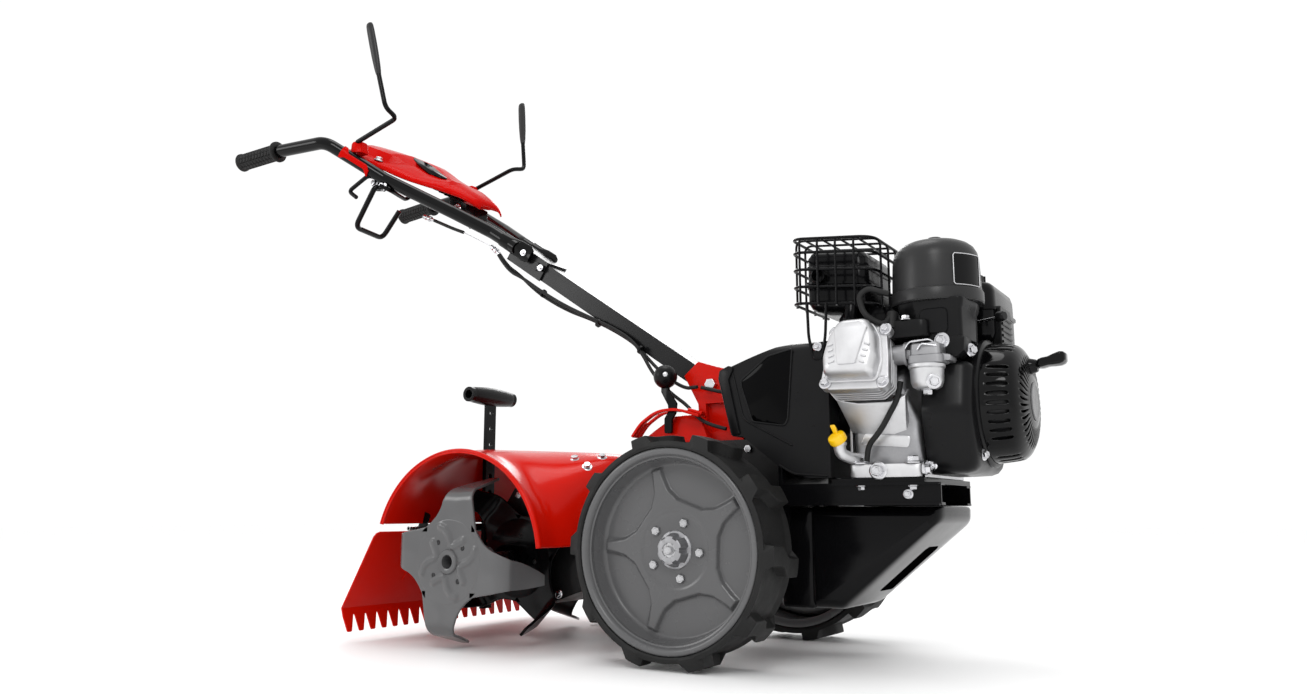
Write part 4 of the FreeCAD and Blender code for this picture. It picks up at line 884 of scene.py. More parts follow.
def build_cleaner():
    """Air cleaner: round cover with a rolled rim, and the moulded lower housing."""
    profile = [(0, 20), (0, 63.6), (2, 65), (15, 65), (17.5, 64), (18.5, 62.2), (40, 61.6),
        (64, 60.4), (74, 58.4), (82, 54), (88, 47), (92, 38), (94.5, 28), (95.5, 20), (96, 13),
        (97, 11.5), (100, 11), (101.6, 9), (102, 0.4)]
    cap = lathe("cleaner_cover", profile, mm(*CLEANER, 508), UP, CAP_PLASTIC, "chassis", 96, 30)
    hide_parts("air_cleaner_cap")
    panel = []
    for row in range(9):
        for column in range(13):
            angle = math.radians(-52 + 46 * column / 12)
            panel.append(mm(CLEANER[0] + 62.2 * math.cos(angle),
                CLEANER[1] + 62.2 * math.sin(angle), 528 + 44 * row / 8))
    label = fix_normals(add_mesh("cleaner_panel", panel, grid_faces(9, 13), GLOSS_PLASTIC))
    thicken(label, 1.2 * MM, 0)
    soften(label, 0.5 * MM, 40, 2)
    housing = block("cleaner_housing", rounded([(295, -100), (322, -112), (384, -112), (390, -60),
        (384, -22), (300, -22)], 9), [(450, 2), (452, 0), (494, 0), (498, -2), (508, -4),
        (510, -3)], mm, BLACK_PLASTIC, "chassis", 30, 0.8)
    block("cleaner_skirt", rounded([(318, 452), (324, 430), (376, 426), (386, 434), (388, 456)], 4),
        soft_levels(-76, -113, 2), side_view, BLACK_PLASTIC)
    block("cleaner_step", rounded([(328, 462), (366, 460), (366, 496), (328, 496)], 9),
        [(-112, 0), (-114.5, 0), (-115.5, 1)], side_view, BLACK_PLASTIC)
    block("cleaner_elbow", rounded([(268, -126), (340, -128), (344, -96), (268, -92)], 12),
        soft_levels(456, 482, 4), mm, BLACK_PLASTIC)
    block("cylinder_shroud", rounded([(196, -92), (300, -92), (300, 40), (196, 40)], 10),
        [(446, 0), (500, 2), (512, 8), (516, 16)], mm, BLACK_PAINT)
    bolts("elbow_nuts", [(mm(288, -118, 482), UP, 10), (mm(310, -120, 482), UP, 10)])
    edge = [mm(CLEANER[0] + 63.4 * math.cos(math.radians(angle)),
        CLEANER[1] + 63.4 * math.sin(math.radians(angle)), z)
        for angle, z in [(-50 + 42 * part / 12, 528) for part in range(13)] + [(-7, 531),
        (-7, 569)] + [(-8 - 42 * part / 12, 572) for part in range(13)] + [(-52, 569), (-52, 531)]]
    wire("cleaner_panel_rim", [edge], 0.7, ALUMINIUM, cyclic=True)
    bolts("cleaner_bolts", [(mm(357, -113.5, 450), RIGHT, 13),
        (mm(388, -84, 438), (1, -0.6, 0), 11)])
    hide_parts("air_cleaner_base")


def build_cowl():
    """Moulded fan housing that rounds over towards the starter."""
    corners = [(-92, 269), (60, 269), (104, 318), (108, 400), (80, 454), (-6, 454), (-30, 447),
        (-62, 424), (-100, 424), (-120, 353)]
    outline = rounded(corners, [26, 30, 34, 34, 20, 14, 14, 14, 10, 40], 6)
    cowl = block("fan_housing", outline, [(325.5, 1), (327, 0), (352, 0), (376, 1), (385, 4),
        (390, 9), (392, 14)], front_view, BLACK_PLASTIC, "chassis", 40)
    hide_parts("blower_housing")
    lathe("fan_housing_ring", [(0, 88), (0, 92), (6, 92), (8, 90), (9, 86.5), (9, 80), (0, 80)],
        mm(388, 0, CRANK_HEIGHT), FORWARD, BLACK_PLASTIC, "chassis", 96)
    bolts("cowl_bolts", [(mm(330, -94, 282), RIGHT, 10), (mm(392, -60, 296), (1, -0.4, 0), 10)])


def build_recoil():
    """Starter cover: drum with long side vents, slanted face vents and a plain badge."""
    profile = [(390, 85.5), (392, 86), (396, 86), (400, 85.8), (404, 85.5), (428, 83), (434, 81),
        (439, 77), (443, 71), (446, 64), (448.6, 58), (450.6, 40), (451.4, 34), (452, 30),
        (452, 26)]
    vents = 40
    columns = (0.0, 0.16, 0.3, 0.7, 0.84)
    side_row, face_row = (4, 6), (9, 11)
    skipped = {4, 5, 14, 15, 25, 26, 35, 36}
    points, faces = [], []
    total = vents * len(columns)
    for row, (x, radius) in enumerate(profile):
        for vent in range(vents):
            for column in columns:
                slant = 0.12 * blend_in(x, 440, 452)
                angle = 2 * math.pi * (vent + column) / vents + slant
                points.append(mm(x, radius * math.cos(angle),
                    CRANK_HEIGHT + radius * math.sin(angle)))
    for row in range(len(profile) - 1):
        for column in range(total):
            vent, part = divmod(column, len(columns))
            solid = vent in skipped or part != 2
            side_open = side_row[0] <= row < side_row[1] and not solid
            face_open = face_row[0] <= row < face_row[1] and part == 2
            if side_open or face_open:
                continue
            beside = (column + 1) % total
            faces.append((row * total + column, row * total + beside, (row + 1) * total + beside,
                (row + 1) * total + column))
    drum = fix_normals(add_mesh("starter_drum", points, faces, GLOSS_PLASTIC))
    thicken(drum, 2.6 * MM)
    smooth = drum.modifiers.new("Smooth", "SUBSURF")
    smooth.levels = smooth.render_levels = 1
    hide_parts("recoil_cover")
    lathe("starter_drum_inside", [(394, 78), (424, 76), (438, 66), (442, 40), (442, 1)],
        mm(0, 0, CRANK_HEIGHT), FORWARD, IRON, "chassis", 64)
    lathe("starter_badge", [(448, 27), (452.6, 27), (453.4, 26), (453.6, 24), (453.2, 22), (454, 6),
        (454, 0.5)], mm(0, 0, CRANK_HEIGHT), FORWARD, GREY_PAINT, "chassis", 64)
    lathe("starter_guide", [(432, 13), (446, 12), (456, 9.5), (459, 8), (459, 4.5)], mm(0, 0, 421),
        FORWARD, GLOSS_PLASTIC, "chassis", 40)
    grip = block("starter_handle", rounded([(-8, -15), (8, -15), (9.5, 0), (8, 15), (-8, 15),
        (-9.5, 0)], 4), [(459, 4), (461, 1.5), (466, 0.5), (474, 1.5), (482, 0), (490, -0.6),
        (494.5, 1), (497, 4)], lambda u, v, x: mm(x, v,
        423 + u * (0.8 + (x - 459) * 0.006) + (x - 459) * 0.2), GLOSS_PLASTIC, "starter", 40)
    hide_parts("starter_grip")


def build_tank():
    """Pressed tank with a seam flange, its cap and bracket, and the throttle lever."""
    outline = rounded([(282, 15), (398, 15), (398, 165), (282, 165)], 22)
    shell = block("tank_shell", outline, [(464, 8), (470, 2), (478, 0), (512, 0), (513, -3),
        (517, -3), (518, 0), (542, 0.5), (551, 3), (556, 8), (558.5, 16), (560, 30)], mm,
        BLACK_PAINT, "chassis", 40)
    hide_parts("fuel_tank")
    neck = lathe("tank_neck", [(0, 24), (10, 24), (11, 23), (11, 18)], mm(*TANK_CAP, 558), UP,
        BLACK_PAINT)
    cap = lathe("tank_cap", [(8, 27), (8, 29.5), (10, 30), (20, 30), (23, 28.5), (25, 25),
        (25.6, 14), (27, 12), (27, 0.5)], mm(*TANK_CAP, 557), UP, BLACK_PLASTIC, "filler_cap", 60)
    fins = []
    for angle in turns(10):
        spot = mm(TANK_CAP[0] + 30 * math.cos(angle), TANK_CAP[1] + 30 * math.sin(angle), 566)
        fins.append([spot, spot + Vector((0, 0, 13)) * MM])
    wire("tank_cap_ridges", fins, 1.6, BLACK_PLASTIC, "filler_cap")
    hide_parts("fuel_cap")
    block("tank_bracket", rounded([(30, 455), (96, 455), (96, 520), (30, 520)], 8),
        [(392, 0), (404, 0), (405, 1)], front_view, BLACK_PLASTIC, "chassis", 35, 0.8)
    slots = []
    for step in range(5):
        z = 466 + 9 * step
        slots.append([mm(405.4, 34, z), mm(405.4, 92, z)])
    wire("tank_bracket_ribs", slots, 2.0, BLACK_PLASTIC)
    lever = wire("throttle_rod", [route([(381, -5, 491), (417, -18, 493)], 2)], 2.4, CHROME,
        "throttle")
    lathe("throttle_knob", [(0, 3), (0, 7.5), (2, 8.5), (10, 7.5), (12, 6), (12, 0.5)],
        mm(411, -16, 493), (0.94, -0.34, 0.05), BLACK_PLASTIC, "throttle", 10)
    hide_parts("throttle_lever")


GUARD_REAR, GUARD_FRONT, GUARD_RIGHT = 140, 268, -126
SILENCER_MIDDLE = 170
FALL = 0.1


def cage(x, y, z):
    """A point of the muffler guard, whose levels fall towards the front."""
    return mm(x, y, z - FALL * (x - GUARD_REAR))


def on_silencer(x, y, z):
    """A point of the silencer, whose levels fall in the same way."""
    return mm(x, y, z - FALL * (x - SILENCER_MIDDLE))


def build_muffler():
    """Silencer box and pipe inside a wire guard, the plug lead and the breather hose."""
    outline = rounded([(156, -108), (250, -108), (250, 14), (156, 14)], 18)
    can = block("silencer_box", outline, [(512, 10), (516, 4), (524, 0), (551, 0), (552, -3.5),
        (555, -3.5), (556, 0), (592, 0), (600, 4), (605, 11), (607, 20)], on_silencer, BLACK_PAINT,
        "chassis", 45)
    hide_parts("muffler")
    for level in (545, 575):
        block(f"silencer_step_{level}", rounded([(154.5, -109.5), (251.5, -109.5), (251.5, 15.5),
            (154.5, 15.5)], 18), [(level, 1), (level + 1, 0), (level + 4, 0), (level + 5, 1)],
            on_silencer, BLACK_PAINT)
    lathe("silencer_outlet", [(100, 11), (119, 11), (120, 10), (120, 8.6), (104, 8.6), (104, 0.5)],
        mm(180, 0, 562), RIGHT, BLACK_PAINT, "chassis", 40)
    wire("exhaust_pipe", [bent([on_head(226, -144, 50.3), on_head(226, -144, 66),
        mm(224, -104, 500), mm(224, -100, 518)], 12)], 10, BLACK_PAINT)
    loops, uprights = [], []
    for level in (523, 548, 574, 600, 621):
        loops.append(bent([cage(GUARD_FRONT, 20, level), cage(GUARD_FRONT, GUARD_RIGHT, level),
            cage(GUARD_REAR, GUARD_RIGHT, level), cage(GUARD_REAR, 20, level)], 24))
    for across in (156, 184, 212, 240):
        uprights.append(bent([cage(across, GUARD_RIGHT - 1.8, 520),
            cage(across, GUARD_RIGHT - 1.8, 623), cage(across, 17, 623)], 12))
    for back in (-98, -64, -30, 4):
        uprights.append(bent([cage(GUARD_REAR - 1.8, back, 520), cage(GUARD_REAR - 1.8, back, 624),
            cage(GUARD_FRONT + 1.8, back, 624), cage(GUARD_FRONT + 1.8, back, 520)], 12))
    loops.append(bent([cage(166, -127.5, 523), mm(168, -129, 470), mm(175, -129, 436),
        mm(188, -129, 436), mm(194, -129, 470), cage(196, -127.5, 523)], 9))
    guard = wire("guard_loops", loops, 2.2, BLACK_PAINT)
    wire("guard_uprights", uprights, 1.8, BLACK_PAINT)
    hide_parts("muffler_guard")
    bolts("guard_bolt_set", [(mm(182, -131, 454), RIGHT, 8)])
    lead = wire("plug_lead", [bent([on_head(290, -152, 50.3), on_head(290, -152, 74),
        mm(284, -136, 474), mm(258, -142, 490), mm(250, -141, 519), mm(262, -136, 530),
        mm(290, -128, 520)], 16, 8)], 4.2, RUBBER)
    wire("plug_boot", [[on_head(290, -152, 50.3), on_head(290, -152, 76)]], 7.5, RUBBER)
    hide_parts("spark_lead")
    wire("breather_hose", [route([(300, -122, 396), (296, -126, 372), (270, -124, 330),
        (250, -120, 310), (246, -118, 288)], 22, 10)], 4.0, RUBBER)


def build_dipstick():
    """Yellow oil plug with its ribbed knob and loop tab."""
    axis = Vector((-0.25, -0.62, 0.75)).normalized()
    seat = mm(213, -136, 316)
    knob = lathe("dipstick_knob", [(-2, 8), (0, 9), (0, 12.4), (2, 13), (8, 13), (10, 12),
        (11, 9.5), (11, 0.5)], seat, axis, YELLOW, "dipstick", 20)
    block("dipstick_tab", rounded([(-3.4, 6), (3.4, 6), (5, 19), (-5, 19)], 2),
        [(2, 0.4), (2.6, 0), (7.4, 0), (8, 0.4)], lambda u, v,
        w: seat + (Vector((0.94, -0.34, 0.03)) * u + axis * w
        + Vector((-0.28, 0.1, 0.72)).normalized() * v) * MM, YELLOW, "dipstick")
    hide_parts("oil_dipstick")


build_crankcase()
build_head()
build_carburettor()
build_cleaner()
build_cowl()
build_recoil()
build_tank()
build_muffler()
build_dipstick()


def build_guard():
    """Belt guard trim, engine rail flanges and the bull-nosed pan."""
    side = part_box("belt_guard")[0][1] / MM

    def on_guard(x, z, out):
        """A point on the guard's right face, out mm clear of it."""
        return Vector((mm(x, 0, z).x, (side - out) * MM, mm(x, 0, z).z))

    window = rounded([(76, 350), (128, 342), (133, 352), (142, 454), (102, 446), (58, 413),
        (59, 402)], [8, 10, 10, 3, 20, 6, 8], 5)
    block("guard_window", window, [(-1, 0), (0.5, 0), (0.9, 0.8)], on_guard, WINDOW_BLACK,
        "chassis", 40)
    wire("guard_window_rim", [[on_guard(x, z, 0.6) for x, z in window]], 1.5, BLACK_PLASTIC,
        cyclic=True)
    block("guard_edge", rounded([(20, 418), (42, 330), (56, 332), (37, 416), (46, 433), (38, 437),
        (22, 430)], 5), [(-2, 0), (2.2, 0), (3.2, 1.2)], on_guard, BLACK_PLASTIC, "chassis", 40)
    wire("guard_swages", [bent([on_guard(44, 424, 0.2), on_guard(61, 354, 0.2),
        on_guard(139, 313, 0.2)], 12), bent([on_guard(118, 285, 0.2), on_guard(140, 272, 0.2),
        on_guard(192, 268, 0.2)], 8)], 1.5, BLACK_PLASTIC)
    for way, side_name in SIDES:
        end = 347 if way < 0 else 325
        for edge, low in (("low", 227), ("high", 254.5)):
            block(f"rail_lip_{edge}_{side_name}", rounded([(194, low), (end, low), (end, low + 3.5),
                (194, low + 3.5)], 1, 3), [(114, 0), (122, 0)], lambda x, z, y,
                way=way: mm(x, y * way, z), BLACK_PAINT)
    heads = [(mm(303, -117, 242), RIGHT, 8.5)]
    for x in (237, 311):
        heads.append((mm(x, -118.5, 254), DOWN, 9))
    heads.append((mm(-330, -60, 80), RIGHT, 9))
    bolts("rail_bolts", heads)
    profile = rounded([(141, 226), (141, 80), (190, 80), (336, 206), (337, 226)], [4, 8, 22, 16, 4],
        5)
    pan = block("pan_shell", profile, [(-89.5, 15), (-88, 9.5), (-84, 5), (-78, 2), (-70, 0.6),
        (-60, 0), (60, 0), (70, 0.6), (78, 2), (84, 5), (88, 9.5), (89.5, 15)], side_view,
        BLACK_PAINT, "chassis", 60)
    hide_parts("belly_pan")
    slope = (mm(336, 0, 206) - mm(190, 0, 80)).normalized()
    normal = Vector((slope.z, 0, -slope.x))
    # A dark plate just proud of the pan paints the shade inside its slot; no opening is cut.
    block("pan_slot_shade", rounded([(34, 2), (128, 2), (134, 8), (134, 52), (128, 58), (34, 58)], 5),
        [(-3, 0), (0.35, 0)], lambda u, y, out: mm(190, y, 80) + (slope * u + normal * out) * MM,
        SLOT_SHADE, "chassis", 40)
    block("pan_rear", rounded([(98, 224), (98, 80), (150, 80), (150, 224)], 6),
        [(-89, 4), (-86, 1), (-80, 0), (80, 0), (86, 1), (89, 4)], side_view, BLACK_PAINT,
        "chassis", 60)


WHEEL_BOLT_TURN = 67.6
BOLT_CIRCLE = 40.6
HUB_FACE = 225


def build_wheel_fittings():
    """Flanged wheel bolts and the cast hub noses."""
    places = []
    for side, name in SIDES:
        for index in range(5):
            angle = math.radians(WHEEL_BOLT_TURN + 72 * index)
            places.append((mm(BOLT_CIRCLE * math.cos(angle), HUB_FACE * side,
                WHEEL_RADIUS + BOLT_CIRCLE * math.sin(angle)), (0, side, 0), 12.5))
        points = []
        rows = [(190, 14), (190, 21), (224, 21), (224, 28), (229, 28), (231, 26.5), (232, 24),
            (246, 19.5), (247.5, 17), (247.5, 10.5), (244, 9.5), (244, 1)]
        for along, radius in rows:
            for angle in turns(90):
                notch = 3.6 * blend_in(math.cos(6 * angle), 0.2, 0.9) if 231 < along < 247 else 0
                reach = radius - notch
                points.append(mm(reach * math.cos(angle), along * side,
                    WHEEL_RADIUS + reach * math.sin(angle)))
        nose = tidy_shape(add_mesh(f"hub_nose_{name}", points,
            grid_faces(len(rows), 90, wrap_columns=True), CAST_GREY, "axle"), 40)
        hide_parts(f"hub_{name}")
        places.append((mm(0, 243 * side, WHEEL_RADIUS), (0, side, 0), 12))
    bolt_set = bolts("wheel_bolt_set", places, STEEL, "axle")
    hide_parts("wheel_bolts")


build_guard()
build_wheel_fittings()


# ---- handle ----


def tube_plane(x):
    """Height of the plane through both handlebar tubes."""
    return 790 + 0.565 * (-585 - x)


CONSOLE_PARTS = [0, 0.14, 0.28, 0.42, 0.56, 0.68, 0.76, 0.84, 0.93, 1]
CONSOLE_FORMS = [(1, 1, 0.98, 0.93, 0.85, 0.72, 0.34, 0.25, 0.18, 0),
    (1, 0.99, 0.91, 0.76, 0.6, 0.48, 0.4, 0.32, 0.2, 0),
    (1, 1, 1, 0.97, 0.9, 0.79, 0.7, 0.55, 0.35, 0)]
CONSOLE_ROWS = [(-850, 100, 12, 38, 0), (-836, 135, 14, 48, 0), (-800, 164, 15, 58, 0),
    (-762, 158, 16, 64, 0), (-738, 146, 17, 67, 0), (-716, 134, 18, 69, 1), (-701, 127, 18, 70, 1),
    (-685, 119, 19, 68, 1), (-668, 110, 21, 64, 1), (-640, 92, 26, 61, 1.5), (-622, 78, 30, 60, 2),
    (-616, 74, 31, 55, 2), (-608, 70, 32, 61, 2), (-586, 58, 35, 57, 2), (-566, 44, 33, 52, 2),
    (-556, 32, 30, 42, 2)]
INSET = (-680, -46, 46, 13)


def console_row(x):
    """Half width and the profile heights of the console at one station."""
    half, edge, crest, form = [table(x, [(row[0], row[field]) for row in CONSOLE_ROWS])
        for field in (1, 2, 3, 4)]
    first = min(int(form), 1)
    part = form - first
    return half, [edge + (crest - edge) * (low + (high - low) * part)
        for low, high in zip(CONSOLE_FORMS[first], CONSOLE_FORMS[first + 1])]


def console_point(x, part, lift=0.0):
    """A point of the console's skin; part runs from -1 (right edge) to 1 (left edge)."""
    width, heights = console_row(x)
    height = table(abs(part), list(zip(CONSOLE_PARTS, heights)))
    middle, across, length, breadth = INSET
    near = math.hypot((x - middle) / length, (part * width - across) / breadth)
    height += 3 * (1 - blend_in(near, 1.0, 1.5)) - 8 * (1 - blend_in(near, 0.9, 1.02))
    return mm(x, part * width, tube_plane(x) + height + lift)


def build_console():
    """Faceted moulded console with an oval inset, its saddles, bolts and underside bracket."""
    rows = sorted({row[0] for row in CONSOLE_ROWS} | {-766 + 6 * step for step in range(17)})
    parts = sorted({-part for part in CONSOLE_PARTS} | set(CONSOLE_PARTS) | {-0.25 + 0.05 * step
        for step in range(11)})
    points = [console_point(x, part) for x in rows for part in parts]
    skin = add_mesh("console_shell", points, grid_faces(len(rows), len(parts)), RED_PLASTIC,
        "handle")
    fix_normals(skin)
    sharp_shade(skin, 22)
    thicken(skin, 2.5 * MM)
    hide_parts("console")
    middle, across, length, breadth = INSET
    rim = []
    for ring, lift in ((0.3, 2.6), (0.8, 2.6), (0.97, 2.2), (1.0, 0.6)):
        row = []
        for angle in turns(48):
            x = middle + length * ring * math.cos(angle)
            y = across + breadth * ring * math.sin(angle)
            width = console_row(x)[0]
            row.append(console_point(x, y / width, lift))
        rim.append(row)
    loft("console_inset", rim, GLOSS_PLASTIC, "handle", cap=True)
    heads = []
    for side, tube in SIDES:
        heads += [(console_point(-788, side * 0.84), (0.3, 0, 1), 11),
            (console_point(-744, side * 0.84), (0.3, 0, 1), 11)]
        rear, front = mm(-806, 207 * side, 934), mm(-716, 132 * side, 864)
        along = (front - rear).normalized()
        out = along.cross(Vector(UP)).normalized()
        out = out if out.y * side > 0 else -out
        up = out.cross(along)
        up = up if up.z > 0 else -up
        sections = []
        for step in range(21):
            part = step / 20
            top = 52 - 46 * blend_in(part, 0.1, 0.24) - 30 * blend_in(part, 0.86, 1.0)
            low = -58 + 25 * blend_in(part, 0.0, 0.2) * (1 - blend_in(part, 0.8,
                1.0)) - 40 * blend_in(part, 0.86, 1.0)
            middle = rear.lerp(front, 0.29 + 0.48 * part)
            sections.append([middle + (out * math.cos(math.radians(angle)) + up
                * math.sin(math.radians(angle))) * 15.2 * MM
                for angle in [low + (top - low) * turn / 14 for turn in range(15)]])
        saddle = add_mesh(f"console_saddle_{tube}", [point for ring in sections for point in ring],
            grid_faces(len(sections), 15), RED_PLASTIC, "handle")
        fix_normals(saddle)
        thicken(saddle, 2 * MM, 0)
        block(f"lever_boss_{tube}", rounded([(-768, 150), (-744, 150), (-744, 170), (-754, 178),
            (-768, 178)], 5), [(914, 0), (932, 1), (936, 3), (937, 5)], lambda x, y, z,
            side=side: mm(x, y * side, z), RED_PLASTIC, "handle", 30)
    bolts("console_bolts", heads, body="handle")
    for step in range(7):
        x = -742 + 15 * step
        block(f"console_rib_{step}", [(-34, 0), (34, 0), (30, 26), (-30, 26)],
            [(x, 0), (x + 2.4, 0)], lambda y, z, at: mm(at, y, tube_plane(at) + 20 + z),
            BLACK_PLASTIC, "handle", 35, 0.4)
    bracket = block("console_bracket", rounded([(-636, -8), (-596, -8), (-592, 26), (-640, 26)], 3),
        [(-32, 0), (-29, 0), (29, 0), (32, 0)], lambda x, z, y: mm(x, y, tube_plane(x) + z),
        BLACK_PAINT, "handle", 35, 0.8)
    bolts("console_bracket_bolt", [(mm(-616, -32, tube_plane(-616) + 6), RIGHT, 12),
        (mm(-616, 32, tube_plane(-616) + 6), LEFT, 12)], body="handle")


def build_levers():
    """Clutch levers: bent rods with flat tapered paddles."""
    for side, name in SIDES:
        wire(f"lever_rod_{name}", [bent([mm(-756, 160 * side, 934), mm(-756, 173 * side, 934),
            mm(-648, 173 * side, 962), mm(-643, 207 * side, 971), mm(-656, 216 * side, 1039),
            mm(-660, 219 * side, 1060)], 12)], 4.6, BLACK_PAINT, f"clutch_{name}")
        low, high = mm(-655.6, 215.7 * side, 1036), mm(-673, 229 * side, 1139)
        axis = (high - low).normalized()
        wide = Vector(FORWARD)
        wide = (wide - axis * wide.dot(axis)).normalized()
        thick = axis.cross(wide)
        sections = []
        for part, half, depth in ((0, 4.8, 4.8), (0.03, 5.6, 5.2), (0.12, 7.0, 5.4),
                (0.34, 8.6, 5.2), (0.6, 9.2, 5.0), (0.85, 9.0, 4.8), (0.95, 8.2, 4.4),
                (0.985, 6.4, 3.6), (1, 3.4, 2.0)):
            middle = low.lerp(high, part)
            sections.append([middle + (wide * half * math.cos(angle) + thick * depth
                * math.sin(angle)) * MM for angle in turns(28)])
        paddle = tidy_shape(loft(f"lever_paddle_{name}", sections, CAP_PLASTIC, f"clutch_{name}"),
            60)
        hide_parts(f"clutch_lever_{name}")


def build_grips():
    """Rubber grips with a flange and a herringbone of raised blocks."""
    for side, name in SIDES:
        end, start = mm(-1032, 227 * side, 927), mm(-920, 219.5 * side, 934)
        axis = (end - start).normalized()
        origin = end - axis * 105.5 * MM
        wide = axis.cross(Vector(UP)).normalized()
        tall = wide.cross(axis)
        steps = 72
        rows = [(0, 13), (0, 19.6), (1, 20.8), (4, 21), (6.5, 19.6), (8, 17), (10, 15.8)]
        rows += [(11 + 0.75 * step, 0) for step in range(116)]
        rows += [(99, 16.4), (101, 18.2), (104, 18.4), (106, 16.6), (107, 13), (108, 8), (108, 0.5)]
        points = []
        for along, radius in rows:
            for angle in turns(steps):
                reach = radius
                if not radius:
                    row = math.floor(6 * angle / math.pi)
                    local = (6 * angle / math.pi) % 1
                    slant = local if row % 2 else 1 - local
                    wave = ((along - 11) / 8.7 + slant * 0.6) % 1
                    block_part = min(blend_in(wave, 0.06, 0.16), 1 - blend_in(wave, 0.72, 0.84))
                    seam = min(blend_in(local, 0.02, 0.1), 1 - blend_in(local, 0.9, 0.98))
                    reach = 14.9 + 1.9 * block_part * seam
                points.append(origin + (axis * along
                    + (wide * math.cos(angle) + tall * math.sin(angle)) * reach) * MM)
        faces = grid_faces(len(rows), steps, wrap_columns=True)
        faces.append(tuple(range(len(points) - steps, len(points))))
        faces.append(tuple(range(steps)))
        grip = tidy_shape(add_mesh(f"moulded_grip_{name}", points, faces, RUBBER, "handle"), 50)
        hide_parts(f"grip_{name}")


def build_controls():
    """Reverse bail, its hook, the cable adjusters and the cables along the column."""
    bail = wire("bail_rod", [route([(-722, -126, 846), (-722, -150, 846), (-773, -150, 771),
        (-794, -60, 772), (-748, -60, 822)], 16)], 5.2, BLACK_PAINT, "bail")
    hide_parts("reverse_bail")
    wire("park_hook", [route([(-734, -128, 866), (-738, -154, 870), (-792, -154, 846),
        (-770, -154, 830)], 11)], 4.2, BLACK_PAINT, "handle")
    wire("bail_cross_rod", [route([(-712, -150, 846), (-700, -130, 838), (-728, -62, 842),
        (-712, -50, 862)], 12)], 4, BLACK_PAINT, "handle")
    block("bail_plate", rounded([(-744, 866), (-706, 850), (-712, 838), (-736, 842)], 4),
        [(-136, 0), (-133, 0)], side_view, BLACK_PAINT, "handle", 35, 0.5)
    bolts("bail_plate_bolts", [(mm(-714, -137, 848), RIGHT, 11), (mm(-738, -137, 858), RIGHT, 10)],
        body="handle")
    for number, (start, end) in enumerate((((-676, -62, 799), (-648, -62, 787)),
            ((-700, 20, 850), (-676, 12, 838)), ((-520, -37, 722), (-500, -36, 704)))):
        first, last = mm(*start), mm(*end)
        length = (last - first).length / MM
        shape = [(0, 4.5), (0.12, 5.2), (0.3, 5.2), (0.34, 3.2), (0.5, 3.2), (0.52, 6), (0.66, 6),
            (0.68, 3.2), (1, 3.2)]
        lathe(f"cable_adjuster_{number}", [(part * length, radius) for part, radius in shape],
            first, last - first, CHROME, "handle", 12)
    wire("cable_ends", [route([(-648, -62, 787), (-600, -62, 764), (-572, -60, 752)], 20),
        route([(-676, 12, 838), (-640, 0, 815), (-600, -10, 778)], 20)], 3.2, RUBBER, "handle")
    wire("cable_wire", [route([(-572, -60, 752), (-520, -37, 722)], 5)], 0.9, CHROME, "handle")
    paths = [[(-504, -34, 708), (-484, -33, 680), (-454, -34, 660), (-425, -33, 633),
        (-395, -33, 610), (-340, -31, 578), (-285, -30, 556), (-235, -29.5, 530),
        (-196, -29.5, 505), (-170, -31, 478), (-148, -34, 457), (-122, -40, 438), (-98, -42, 424),
        (-78, -53, 418), (-68, -61, 417.5), (-55, -64, 417.5)],
        [(-500, -40, 702), (-476, -40, 668), (-440, -40, 650), (-400, -40, 622), (-345, -38, 588),
        (-290, -37, 561), (-240, -36, 537), (-200, -36, 512), (-176, -37, 484), (-156, -40, 452),
        (-128, -46, 424), (-100, -54, 404), (-76, -62, 390), (-49, -68, 364), (-20, -70, 352),
        (0, -70, 347)]]
    lines = [wire(f"column_cable_{number}", [[mm(*point) for point in path]], 3, RUBBER, "handle",
        smooth=True) for number, path in enumerate(paths)]
    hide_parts("column_cables")
    for x, z in ((-182, 493), (-395, 616), (-270, 548)):
        tie = lathe(f"cable_tie_{-x}", [(-2, 0.5), (-2, 7.6), (2, 7.6), (2, 0.5)], mm(x, -34, z),
            (0.84, 0, -0.54), BLACK_PLASTIC, "handle", 20)


build_console()
build_levers()
build_grips()
build_controls()


# ---- rear flap and hood fittings ----


HOOD_BOLTS = [(48, -0.5), (42, -0.4), (40, -0.53)]


